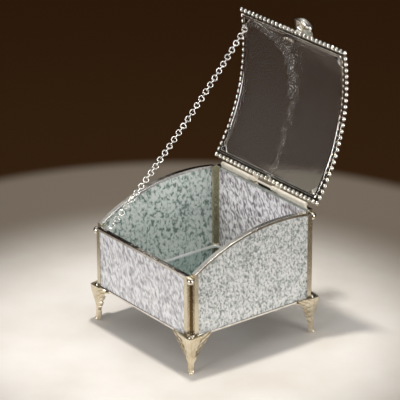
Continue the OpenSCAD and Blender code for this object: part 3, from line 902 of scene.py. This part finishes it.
@dataclass
class Panels:
    """The four glass panels, the mirror floor and the solder that holds them, in millimetres."""

    finishes: Finishes
    edge: float = 0.28
    top_edge: float = 0.75
    seam_x: float = 46.5
    seam_y: float = 45.5
    seam_z: float = 26.15
    seam_r: float = 0.95
    seam_ring: int = 12
    seam_steps: int = 48

    def floor_seam(self) -> None:
        """Makes the solder round the mirror's edge, a round seam with mitred corners.

        Each point of its section runs round its own rectangle, seam_x - r cos b by seam_y - r cos b,
        at seam_z + r sin b. Along each side r swells and shrinks as
        seam_r (1 + 0.1 sin(10 pi t) + 0.05 sin(26 pi t + 1)), with t from 0 to 1.
        """
        b = circle(self.seam_ring)
        t = np.linspace(0, 1, self.seam_steps + 1)[:-1][:, None]
        swell = 1 + 0.1 * np.sin(10 * math.pi * t) + 0.05 * np.sin(26 * math.pi * t + 1)
        inset, z = self.seam_r * swell * np.cos(b), self.seam_z + self.seam_r * swell * np.sin(b)
        depth = self.seam_y - inset
        x, y = round_frame(self.seam_x - inset, -depth, depth, self.seam_steps)
        points = np.stack([x, y, np.tile(z, (4, 1))], axis=-1).reshape(-1, 3)
        piece = mesh_object("floor_seam", points, ring_faces(len(x), len(b), closed=True))
        seat(piece, self.finishes.seam, "box", "solder")

    def build(self) -> None:
        """Rounds the rails' edges and dresses the panes, the floor and the solder."""
        for side in ("front", "back", "left", "right"):
            ends = ("left", "right") if side in ("front", "back") else ("front", "back")
            softened(f"{side}_bottom_rail", self.edge, self.finishes.silver)
            softened(f"{side}_top_rail", self.top_edge, self.finishes.silver)
            for end in ends:
                softened(f"{side}_{end}_upright", self.edge, self.finishes.upright)
        for pane, glass in self.finishes.panes.items():
            dress([pane], glass)
        dress(["base_mirror"], self.finishes.mirror)
        dress(["base_plate"], self.finishes.sheet)
        dress(["corner_solder"], self.finishes.solder)
        self.floor_seam()
        dress(["box_chain_eye"], self.finishes.chain)


@dataclass
class LeafFeet:
    """Four cast leaf feet: a veined leaf that bends out to a lip, with lobed wings and a round toe.

    Lengths are in millimetres. Shares run from 0 to 1, across from the ridge to the wing's edge
    and up from the ankle to the wing's tip. wing_at, vein_at and rib_at are where the lobes and
    veins rise and the rib sinks: the share where it starts and how much of the height it takes.
    """

    finishes: Finishes
    corner_x: float = 50.0
    corner_y: float = 49.0
    foot_h: float = 23.7
    wing_w: float = 12.2
    ankle_w: float = 1.85
    ankle_h: float = 7.0
    bend_h: float = 9.0
    wing_rise: float = 2.6
    lip_rise: float = 0.9
    lip_out: float = 2.3
    ankle_in: float = 1.0
    wing_fall: float = 0.97
    ridge_r: float = 1.2
    leaf_t: float = 1.5
    ankle_t: float = 0.5
    lobes: int = 5
    lobe_h: float = 0.55
    lobe_lead: float = 3.4
    notch: float = 0.9
    wing_share: float = 0.5
    line_share: float = 0.14
    wing_at: tuple[float, float] = (0.12, 0.15)
    veins: int = 9
    vein_h: float = 0.03
    vein_at: tuple[float, float] = (0.1, 0.5)
    # vein_shade and ledge_shade are shares of painted shade, in the veins' troughs and on the ledge.
    vein_shade: float = 0.12
    vein_gap: float = 0.6
    vein_dark_from: float = 0.3
    rib_h: float = 0.3
    rib_at: tuple[float, float] = (0.3, 0.5)
    toe_r: float = 1.5
    toe_h: float = 1.3
    toe_top: float = 1.82
    toe_cut: float = 0.92
    ledge_share: float = 0.86
    ledge_in: float = 13.0
    ledge_t: float = 0.8
    ledge_gap: float = 0.02
    ledge_shade: float = 0.25
    rows: int = 150
    across: int = 96
    toe_rows: int = 12
    toe_ring: int = 32

    def spread(self, z: np.ndarray) -> np.ndarray:
        """Share of the leaf's height above the ankle."""
        return np.clip((z - self.ankle_h) / (self.foot_h + self.wing_rise - self.ankle_h), 0, None)

    def skin(self, u: np.ndarray, v: np.ndarray, outer: bool) -> tuple[np.ndarray, np.ndarray]:
        """One skin of the leaf.

        Height z = v (foot + lip + (wing - lip) u^2). Half width grows in a straight line above the
        ankle, less a notch |cos|^6 between lobes. The ridge bends outward by a smooth step and the
        wings fall away as sqrt(s^2 + r^2) - r. On the outer skin each lobe is a saw tooth in
        lobes * spread + lobe_lead (1 - |u|), to the power 1.6, fine veins are a cosine across the
        leaf, and a rib exp(-2 s^2 / r^2) stands on the ridge low down.

        Args:
            u: Place across, from -1 to 1.
            v: Place up, from 0 to 1.
            outer: True for the outer skin.

        Returns:
            Points as across, diagonal and z, and the painted shade of the carved lines, from 0 to 1.
        """
        z = v * (self.foot_h + self.lip_rise + (self.wing_rise - self.lip_rise) * u * u)
        spread = self.spread(z)
        notch = np.abs(np.cos(math.pi * self.lobes * spread)) ** 6
        half = self.ankle_w + (self.wing_w - self.ankle_w) * spread
        half = half - self.notch * np.minimum(1, 4 * spread) * notch
        s = u * half
        tip = (-self.ankle_in + (self.lip_out + self.ankle_in)
               * smooth_step(z, self.bend_h, self.foot_h - self.bend_h)
               + self.ankle_in / 2 * smooth_step(1 - z / (2 * self.toe_h)))
        base = tip - self.wing_fall * (np.sqrt(s * s + self.ridge_r ** 2) - self.ridge_r)
        if not outer:
            thick = self.leaf_t + self.ankle_t * (1 - smooth_step(spread * 2))
            return np.stack([s, base - thick, z], axis=-1), np.zeros_like(s)
        phase = (self.lobes * spread + self.lobe_lead * (1 - np.abs(u))) % 1.0
        wing = smooth_step(np.abs(u), self.wing_share, self.line_share) * smooth_step(spread, *self.wing_at)
        carve = wing * (phase ** 1.6 - 0.5) * self.lobe_h
        vein = np.cos(self.veins * math.pi * u)
        veins = self.vein_h * vein * smooth_step(spread, *self.vein_at) * (1 - wing)
        rib = self.rib_h * np.exp(-2 * s * s / self.ridge_r ** 2) * (1 - smooth_step(spread, *self.rib_at))
        # Painted shade: a dark line along the step between lobes, and in the veins' troughs.
        line = wing * np.clip(1 - np.minimum(phase, (1 - phase) * 2.5) / self.line_share, 0, 1)
        dark = (vein < -self.vein_gap) * (spread > self.vein_dark_from)
        line = np.maximum(line, self.vein_shade * (1 - wing) * dark)
        return np.stack([s, base + rib + carve + veins, z], axis=-1), line

    def leaf(self) -> tuple[np.ndarray, list[tuple[int, ...]], np.ndarray]:
        """The leaf as a tube of rings, each ring the outer skin one way and the inner skin back.

        Returns:
            Points, faces, and the painted shade of the carved lines at each point.
        """
        v = np.linspace(0, 1, self.rows)[:, None]
        u = np.linspace(-1, 1, self.across)[None, :]
        u, v = np.broadcast_arrays(u, v)
        front, line = self.skin(u, v, True)
        back, plain = self.skin(u, v, False)
        points = np.concatenate([front, back[:, ::-1]], axis=1)
        depth = np.concatenate([line, plain[:, ::-1]], axis=1)
        faces = ring_faces(self.rows, 2 * self.across)
        return points.reshape(-1, 3), faces, depth.ravel()

    def toe(self, first: int) -> tuple[np.ndarray, list[tuple[int, ...]]]:
        """Round toe pad, turned about z.

        Its radius is toe_r sqrt(1 - (toe_cut h)^2) at the height toe_top h, with h from 0 to 1.

        Args:
            first: Number of its first vertex.

        Returns:
            Points and faces.
        """
        h = np.linspace(0, 1, self.toe_rows)[:, None]
        a = circle(self.toe_ring)[None, :]
        r = self.toe_r * np.sqrt(1 - (self.toe_cut * h) ** 2)
        d = -self.ankle_in / 2 - self.leaf_t / 2
        grid = np.stack(np.broadcast_arrays(
            r * np.cos(a), d + r * np.sin(a), self.toe_top * h), axis=-1)
        return grid.reshape(-1, 3), ring_faces(self.toe_rows, self.toe_ring, first)

    def ledge(self, first: int) -> tuple[np.ndarray, list[tuple[int, ...]]]:
        """Plate under the corner, a pentagon whose point follows the wings' fall under the lip.

        Args:
            first: Number of its first vertex.

        Returns:
            Points and faces.
        """
        half = self.wing_w * self.ledge_share
        lip = self.lip_out - self.leaf_t / 2
        wing = lip - self.wing_fall * (math.hypot(half, self.ridge_r) - self.ridge_r)
        back = -self.ledge_in
        outline = np.array([[0, lip], [-half, wing], [-half, back], [half, back], [half, wing]])
        rows = [np.insert(outline, 2, self.foot_h - low, axis=1) for low in (self.ledge_t, self.ledge_gap)]
        return np.concatenate(rows), ring_faces(len(rows), len(outline), first)

    def build(self) -> None:
        """Makes the four feet in place of the plain ones."""
        leaf, faces, line = self.leaf()
        toe, toe_faces = self.toe(len(leaf))
        ledge, ledge_faces = self.ledge(len(leaf) + len(toe))
        points = np.concatenate([leaf, toe, ledge])
        faces += toe_faces + ledge_faces
        # The ledge under the corner gets painted shade, for the shadow gap under the panel.
        painted_shade = np.concatenate([line, np.zeros(len(toe)), np.full(len(ledge), self.ledge_shade)])
        for depth in Side:
            for width in Side:
                sx, sy = width.value, depth.value
                a = math.atan2(sy, sx) - math.pi / 2
                turned = np.stack([
                    points[:, 0] * math.cos(a) - points[:, 1] * math.sin(a) + sx * self.corner_x,
                    points[:, 0] * math.sin(a) + points[:, 1] * math.cos(a) + sy * self.corner_y,
                    points[:, 2]], axis=1)
                name = "foot_" + ("front" if sy < 0 else "back") + ("_left" if sx < 0 else "_right")
                piece = mesh_object("leaf_" + name, turned, faces)
                give(piece, painted_shade, "painted_shade")
                seat(piece, self.finishes.feet, "box", "cast_feet", name, sharp=50)


@dataclass
class HingeLine:
    """The two tubes on the box, the pin, and the lid's knuckles, in millimetres."""

    finishes: Finishes
    edge: float = 0.15

    def build(self) -> None:
        """Rounds the tubes and the knuckles, and dresses the pin."""
        for name in ("hinge_tube_left", "hinge_tube_right", "lid_knuckles"):
            softened(name, self.edge, self.finishes.hinge)
        dress(["hinge_pin"], self.finishes.hinge)


@dataclass
class Lid:
    """The arched lid: rim, bent glass, gussets, beading and tongue.

    Lengths are in millimetres and angles in degrees. Radii and angles are those of the arch.
    """

    finishes: Finishes
    arch: Arch
    half_x: float = 48.3
    front_a: float = -33.092
    back_a: float = 9.422
    rim_w: float = 1.7
    rim_r0: float = 124.7
    rim_r1: float = 128.2
    rim_power: float = 0.35
    rim_ring: int = 24
    rim_steps: int = 32
    glass_r: float = 125.9
    glass_t: float = 1.8
    glass_ring: int = 120
    glass_rows: int = 41
    gusset: float = 6.2
    gusset_r: float = 125.0
    gusset_t: float = 0.6
    gusset_dip: float = 0.16
    gusset_tuck: float = 0.4
    tongue_w: float = 6.5
    tongue_h: float = 4.3
    tongue_top: float = 0.8
    tongue_tuck: float = 0.2
    tongue_out: float = 0.8

    def edges(self) -> tuple[float, float]:
        """Angles of the rim's front and back edge in radians."""
        return math.radians(self.front_a), math.radians(self.back_a)

    def rim(self) -> None:
        """Makes the lid's channel, one rounded profile carried round the rim with mitred corners.

        The profile is a superellipse between the rim's outer side and rim_w inward, and between its
        two radii. Each of its points runs round its own rectangle, inset by its distance inward.
        """
        b = circle(self.rim_ring)
        inset = self.rim_w / 2 * (1 + boxy(np.cos(b), self.rim_power))
        high = (self.rim_r1 - self.rim_r0) / 2
        r = self.rim_r0 + high * (1 + boxy(np.sin(b), self.rim_power))
        front, back = self.edges()
        turn = inset / self.arch.radius
        x, a = round_frame(self.half_x - inset, front + turn, back - turn, self.rim_steps)
        piece = mesh_object("lid_rim", self.arch.place(x, r, a), ring_faces(len(x), len(b), closed=True))
        names = (f"lid_{side}_rail" for side in ("front", "back", "left", "right"))
        seat(piece, self.finishes.silver, "lid", "silver_rails", *names, sharp=40)

    def gussets(self) -> None:
        """Makes the four corner plates under the glass, right triangles with a hollow long side.

        The long side runs from one leg to the other as (c cos^2 t, c sin^2 t) with a dip toward the
        corner of gusset_dip c sin 2t.
        """
        t = np.linspace(0, math.pi / 2, 9)
        dip = self.gusset_dip * np.sin(2 * t)
        along = np.concatenate([[0.0], self.gusset * (np.cos(t) ** 2 - dip)])
        down = np.concatenate([[0.0], self.gusset * (np.sin(t) ** 2 - dip)])
        start = self.rim_w - self.gusset_tuck
        front, back = self.edges()
        levels = np.array([[self.gusset_r], [self.gusset_r + self.gusset_t]])
        points, faces = [], []
        for side in Side:
            for end in Side:
                x = side.value * (self.half_x - start - along)
                turn = (start + down) / self.arch.radius
                faces += ring_faces(len(levels), len(x), len(points) * len(levels) * len(x))
                points.append(self.arch.place(x, levels, front + turn if end is Side.LOW else back - turn))
        piece = mesh_object("lid_gussets", np.concatenate(points), faces)
        seat(piece, self.finishes.silver, "lid", "silver_rails")

    def pane(self) -> None:
        """Makes the bent glass, a slab with rounded ends that is carried across from left to right.

        Its section in angle and radius is, for b round a full turn,
        a = middle + half sign(cos b) (1 - (1 - |cos b|)^1.6) and
        r = glass_r + glass_t / 2 (1 + sign(sin b) |sin b|^0.12).
        """
        front, back = self.edges()
        bite = self.rim_w / 2
        x = np.linspace(-1, 1, self.glass_rows)[:, None] * (self.half_x - bite)
        b = circle(self.glass_ring)
        half = (back - front) / 2 - bite / self.arch.radius
        a = (front + back) / 2 + half * np.sign(np.cos(b)) * (1 - (1 - np.abs(np.cos(b))) ** 1.6)
        r = self.glass_r + self.glass_t / 2 * (1 + boxy(np.sin(b), 0.12))
        piece = mesh_object("lid_pane", self.arch.place(x, r, a), ring_faces(self.glass_rows, len(b)))
        seat(piece, self.finishes.clear, "lid", "clear_glass", "lid_glass", sharp=30)

    def tongue(self) -> None:
        """Makes the tongue behind the front rail, a tab that hangs down with rounded corners.

        Its outline is x = w sign(cos t) |cos t|^0.7 and r = top - h sin(t)^0.9, for half a turn.
        """
        t = np.linspace(0, math.pi, 33)
        x = self.tongue_w * boxy(np.cos(t), 0.7)
        r = self.rim_r0 + self.tongue_top - self.tongue_h * np.sin(t) ** 0.9
        inset = np.array([[self.rim_w - self.tongue_tuck], [self.rim_w + self.tongue_out]])
        a = self.edges()[0] + inset / self.arch.radius
        piece = mesh_object("rounded_tongue", self.arch.place(x, r, a), ring_faces(len(inset), len(t)))
        seat(piece, self.finishes.silver, "lid", "silver_rails", "latch_tongue", sharp=40)

    def build(self) -> None:
        """Makes the rim, gussets, glass and tongue, and dresses the beads and the eye."""
        for side in ("front", "back", "left", "right"):
            dress([f"lid_{side}_beads"], self.finishes.beads)
        dress(["lid_chain_eye"], self.finishes.chain)
        self.rim()
        self.gussets()
        self.pane()
        self.tongue()


@dataclass
class Knob:
    """The turned knob on the lid's front rail, with its collar.

    Lengths are in millimetres and angles in degrees. Its place on the arch is angle, at the top
    rail_r of the rail.
    """

    finishes: Finishes
    arch: Arch
    rail_r: float = 128.2
    angle: float = -32.4
    lean: float = 15.0
    knob_r: float = 8.3
    rim_h: float = 6.2
    rim_t: float = 0.9
    dome_share: float = 0.95
    dome_h: float = 5.4
    neck_r: float = 2.3
    neck_h: float = 0.9
    collar_r: float = 3.2
    collar_h: float = 1.2
    collar_edge: float = 0.5
    flutes: int = 28
    ring: int = 168

    def on_rail(self, local: np.ndarray, lean: float) -> np.ndarray:
        """Places local points at the middle of the front rail, leaning towards the front.

        Local z points along the arc's normal turned by lean, local y back along the arc.

        Args:
            local: Points in millimetres.
            lean: Lean in degrees.

        Returns:
            Points of the open lid.
        """
        c, s = math.cos(math.radians(lean)), math.sin(math.radians(lean))
        y, z = local[:, 1] * c - local[:, 2] * s, local[:, 1] * s + local[:, 2] * c
        a = math.radians(self.angle)
        shut = np.stack([
            local[:, 0],
            self.arch.y + (self.rail_r + z) * math.sin(a) + y * math.cos(a),
            self.arch.z + (self.rail_r + z) * math.cos(a) - y * math.sin(a)], axis=1)
        return self.arch.hinge.swing(shut)

    def lathe(self, profile: np.ndarray, flute: np.ndarray) -> np.ndarray:
        """Turns a profile about local z, with flutes: radius r (1 - f (0.5 + 0.5 cos(n a))).

        Args:
            profile: Radius and height of each ring.
            flute: Share f of the radius that the flutes cut, one per ring.

        Returns:
            Points of all rings, ring by ring.
        """
        a = circle(self.ring)[None, :]
        r = profile[:, :1] * (1 - flute[:, None] * (0.5 + 0.5 * np.cos(self.flutes * a)))
        grid = np.stack(np.broadcast_arrays(r * np.cos(a), r * np.sin(a), profile[:, 1:]), axis=-1)
        return grid.reshape(-1, 3)

    def profile(self) -> tuple[np.ndarray, np.ndarray]:
        """Outline of the knob from the neck out to the rim and up over three turned ribs.

        The underside's radius grows from neck to knob as t^2.2 and its height as 0.35 t + 0.65 t^0.6.
        The rim is half a round. The dome is r = k R cos d and h = rim + k H sin d, and its ribs make
        k = dome_share (1 - 0.07 |cos 6d|^3), fading out towards the top.

        Returns:
            Radius and height of each ring, and the share of the radius that the flutes cut there.
        """
        t = np.linspace(0, 1, 25)[:-1]
        under = np.stack([
            self.neck_r + (self.knob_r - self.neck_r) * t ** 2.2,
            self.neck_h + (self.rim_h - self.neck_h) * (0.35 * t + 0.65 * t ** 0.6)], axis=1)
        b = np.linspace(-math.pi / 2, math.pi / 2, 9)
        rim = np.stack([
            self.knob_r - self.rim_t / 2 + self.rim_t / 2 * np.cos(b),
            self.rim_h + self.rim_t / 2 + self.rim_t / 2 * np.sin(b)], axis=1)
        d = np.linspace(0.04, math.pi / 2 - 0.02, 60)
        ribs = 0.07 * np.abs(np.cos(6 * d)) ** 3 * (1 - smooth_step(d, 1.2, 0.3))
        k = self.dome_share * (1 - ribs)
        dome = np.stack([
            k * self.knob_r * np.cos(d), self.rim_h + self.rim_t + k * self.dome_h * np.sin(d)], axis=1)
        profile = np.concatenate([under, rim, dome])
        flute = np.concatenate([
            0.06 * np.sin(math.pi * t), np.full(len(b), 0.02),
            0.05 * np.sin(np.clip((d - 0.35) / 0.6, 0, 1) * math.pi)])
        return profile, flute

    def build(self) -> None:
        """Makes the knob and its collar in place of the plain one."""
        profile, flute = self.profile()
        body = self.on_rail(self.lathe(profile, flute), self.lean)
        t = np.linspace(0, math.pi / 2, 10)
        edge = self.collar_edge
        skirt = np.stack([
            self.collar_r - edge + edge * np.cos(t), self.collar_h - edge + edge * np.sin(t)], axis=1)
        skirt = np.concatenate([[[self.collar_r, 0.0]], skirt])
        collar = self.on_rail(self.lathe(skirt, np.zeros(len(skirt))), 0.0)
        faces = ring_faces(len(profile), self.ring) + ring_faces(len(skirt), self.ring, len(body))
        piece = mesh_object("turned_knob", np.concatenate([body, collar]), faces)
        seat(piece, self.finishes.knob, "lid", "knob_metal", "knob", sharp=60)


@dataclass
class StayChain:
    """Sixty round links from the lid's eye to the box's eye, in groups that turn as one.

    Lengths are in millimetres. The chain starts at the frame's first chain joint, in the lid's
    eye, and ends in the box's eye, both given as y and z with the lid open. Its wire has the radius
    wire_r, round the same centre lines as the solids' wire of cad_wire_r.
    """

    finishes: Finishes
    groups: int = 15
    links: int = 4
    x: float = JOINTS["chain_01_turn"]["pos_m"][0] / MM
    start: tuple[float, ...] = tuple(v / MM for v in JOINTS["chain_01_turn"]["pos_m"][1:])
    end: tuple[float, float] = (-43.0, 61.4527)
    sag: float = 3.0
    wire_r: float = 0.38
    cad_wire_r: float = 0.3
    play: float = 0.16
    twist: float = -38.0
    around: int = 26
    section: int = 10

    def path(self) -> np.ndarray:
        """Ends of the groups on the hanging line: the chord plus 4 s t (1 - t) below it.

        Returns:
            One row of y and z per end.
        """
        start, end = np.array(self.start), np.array(self.end)
        chord = (end - start) / np.linalg.norm(end - start)
        below = np.array([-chord[1], chord[0]])
        t = np.linspace(0, 1, self.groups + 1)[:, None]
        return start + t * (end - start) + 4 * self.sag * t * (1 - t) * below

    def ring(self, middle: np.ndarray, way: np.ndarray, side: np.ndarray, radius: float) -> np.ndarray:
        """A hoop of round wire in the plane of two directions.

        Its centre line is middle + R (way cos a + side sin a), and the wire's section is a circle.

        Args:
            middle: Centre in millimetres.
            way: Direction along the chain.
            side: Direction across it, in the hoop's plane.
            radius: Radius of the centre line.

        Returns:
            Points, section by section.
        """
        a = circle(self.around)[:, None, None]
        b = circle(self.section)[None, :, None]
        out = way * np.cos(a) + side * np.sin(a)
        axis = np.cross(way, side)
        reach = radius + self.wire_r * np.cos(b)
        return (middle + reach * out + self.wire_r * np.sin(b) * axis).reshape(-1, 3)

    def build(self) -> None:
        """Makes each group of links in place of the plain one.

        The planes of neighbouring hoops stand square to each other, turned by twist about the chain.
        """
        ends = self.path()
        steps = np.linalg.norm(np.diff(ends, axis=0), axis=1)
        radius = (float(steps.sum()) / (self.groups * self.links) + self.play) / 2 + self.cad_wire_r
        twist = math.radians(self.twist)
        count = self.around * self.section
        for g in range(self.groups):
            way = np.array([0.0, *((ends[g + 1] - ends[g]) / steps[g])])
            lift = np.array([0.0, -way[2], way[1]])
            sides = [np.array([-math.sin(twist), 0, 0]) + lift * math.cos(twist),
                     np.array([math.cos(twist), 0, 0]) + lift * math.sin(twist)]
            first = np.array([self.x, *ends[g]])
            rings = []
            for k in range(1, self.links + 1):
                middle = first + way * (k * steps[g] / self.links - radius)
                rings.append(self.ring(middle, way, sides[(k + 1) % 2], radius))
            faces = [f for k in range(self.links)
                     for f in ring_faces(self.around, self.section, k * count, closed=True)]
            piece = mesh_object(f"chain_links_{g + 1:02d}", np.concatenate(rings), faces)
            name = f"chain_{g + 1:02d}"
            seat(piece, self.finishes.chain, name, "chain_metal", name)


# ---- stage -------------------------------------------------------------------------------------


@dataclass
class Stage:
    """Pale floor with a painted pool of light round the box, soft light and the photograph's viewpoint.

    The camera's angles are in degrees, its focal length in pixels of the photograph, and its eye
    and the floor in millimetres.
    """

    azimuth: float = 52.583
    elevation: float = 23.299
    roll: float = -0.198
    focal_px: float = 2788.0
    eye: tuple[float, float, float] = (1259.16, -966.35, 769.56)
    floor_half: float = 4000.0
    floor_points: int = 81

    def floor(self) -> None:
        """Makes the floor, a grid whose height is -0.02 - 0.05 (1 + sin(x / 300) cos(y / 260))."""
        n, half = self.floor_points, self.floor_half
        x, y = np.meshgrid(np.linspace(-half, half, n), np.linspace(-half, half, n), indexing="xy")
        z = -0.02 - 0.05 * (1 + np.sin(x / 300) * np.cos(y / 260))
        points = np.stack([x, y, z], axis=-1).reshape(-1, 3)
        j, i = np.meshgrid(np.arange(n - 1), np.arange(n - 1), indexing="ij")
        quads = np.stack([j * n + i, j * n + i + 1, (j + 1) * n + i + 1, (j + 1) * n + i], axis=-1)
        made = mesh_object("table", points, quads.reshape(-1, 4).tolist())
        made.data.materials.append(PalePlaster().build())

    def lamp(
        self, name: str, place: Sequence[float], aim: Sequence[float], size: float, watts: float, tint: str
    ) -> None:
        """Adds a square soft lamp.

        Args:
            name: Name of the lamp.
            place: Where it hangs, in metres.
            aim: Point that it faces, in metres.
            size: Side length in metres.
            watts: Power.
            tint: Hex colour of the light.
        """
        data = bpy.data.lights.new(name, "AREA")
        data.size = size
        data.energy = watts
        data.color = linear(tint)[:3]
        made = bpy.data.objects.new(name, data)
        made.location = place
        made.rotation_euler = (Vector(aim) - Vector(place)).to_track_quat("-Z", "Y").to_euler()
        bpy.context.scene.collection.objects.link(made)

    def light(self) -> None:
        """Hangs a small key lamp overhead and two low fills, in front and on the right."""
        middle = (0, 0, 0.08)
        self.lamp("key", place=(-0.06, 0.02, 0.95), aim=(0, 0, 0), size=0.06, watts=5.6, tint="#FFFAF4")
        self.lamp("fill front", place=(0.1, -1.5, 0.28), aim=middle, size=0.8, watts=17.0, tint="#FAFAFF")
        self.lamp("fill right", place=(1.55, 0.35, 0.28), aim=middle, size=0.8, watts=16.0, tint="#FFFDFA")

    def room(self) -> None:
        """Makes the room's light, brown-black at the sides and below, and pale overhead."""
        world = bpy.data.worlds.new("room")
        world.use_nodes = True
        tree = world.node_tree
        tree.nodes.clear()
        way = add(tree, "ShaderNodeTexCoord").outputs["Generated"]
        split = add(tree, "ShaderNodeSeparateXYZ", {"Vector": way})
        height = add(tree, "ShaderNodeMapRange", {
            "Value": split.outputs["Z"], "From Min": -0.1, "From Max": 0.9})
        sky = add(tree, "ShaderNodeValToRGB", {"Fac": height.outputs["Result"]},
                  stops=[(0.0, "#1E1813"), (0.58, "#221C18"), (0.78, "#C9C7C4"), (1.0, "#FFFFFF")])
        glow = add(tree, "ShaderNodeBackground", {"Color": sky.outputs["Color"], "Strength": 0.8})
        add(tree, "ShaderNodeOutputWorld", {"Surface": glow.outputs["Background"]})
        bpy.context.scene.world = world
        bpy.context.scene.view_settings.view_transform = "Standard"

    def camera(self) -> None:
        """Sets the camera, fitted to the photograph at 400 x 400 pixels."""
        az, el, roll = (math.radians(v) for v in (self.azimuth, self.elevation, self.roll))
        back = Vector((math.sin(az) * math.cos(el), -math.cos(az) * math.cos(el), math.sin(el)))
        right = Vector((math.cos(az), math.sin(az), 0))
        up = back.cross(right)
        rolled_right = right * math.cos(roll) + up * math.sin(roll)
        rolled_up = -right * math.sin(roll) + up * math.cos(roll)
        data = bpy.data.cameras.new("photograph")
        data.sensor_width = 36.0
        data.lens = self.focal_px * data.sensor_width / IMAGE
        data.clip_start = 0.05
        data.clip_end = 20.0
        made = bpy.data.objects.new("photograph", data)
        turn = Matrix((rolled_right, rolled_up, back)).transposed().to_4x4()
        made.matrix_world = Matrix.Translation(Vector(self.eye) * MM) @ turn
        bpy.context.scene.collection.objects.link(made)
        bpy.context.scene.camera = made

    def build(self) -> None:
        """Builds floor, lamps, room and camera."""
        self.floor()
        self.light()
        self.room()
        self.camera()


def main() -> None:
    """Builds the stage and the box's sub-assemblies in order."""
    logging.basicConfig(level=logging.INFO, format="%(name)s: %(message)s")
    finishes = Finishes()
    arch = Arch(Hinge())
    parts: list[tuple[str, Callable[[], None]]] = [
        ("stage", Stage().build),
        ("panels", Panels(finishes).build),
        ("leaf feet", LeafFeet(finishes).build),
        ("hinge", HingeLine(finishes).build),
        ("lid", Lid(finishes, arch).build),
        ("knob", Knob(finishes, arch).build),
        ("stay chain", StayChain(finishes).build),
    ]
    for name, build in parts:
        build()
        LOG.info("%s built", name)


if __name__ == "__main__":
    main()
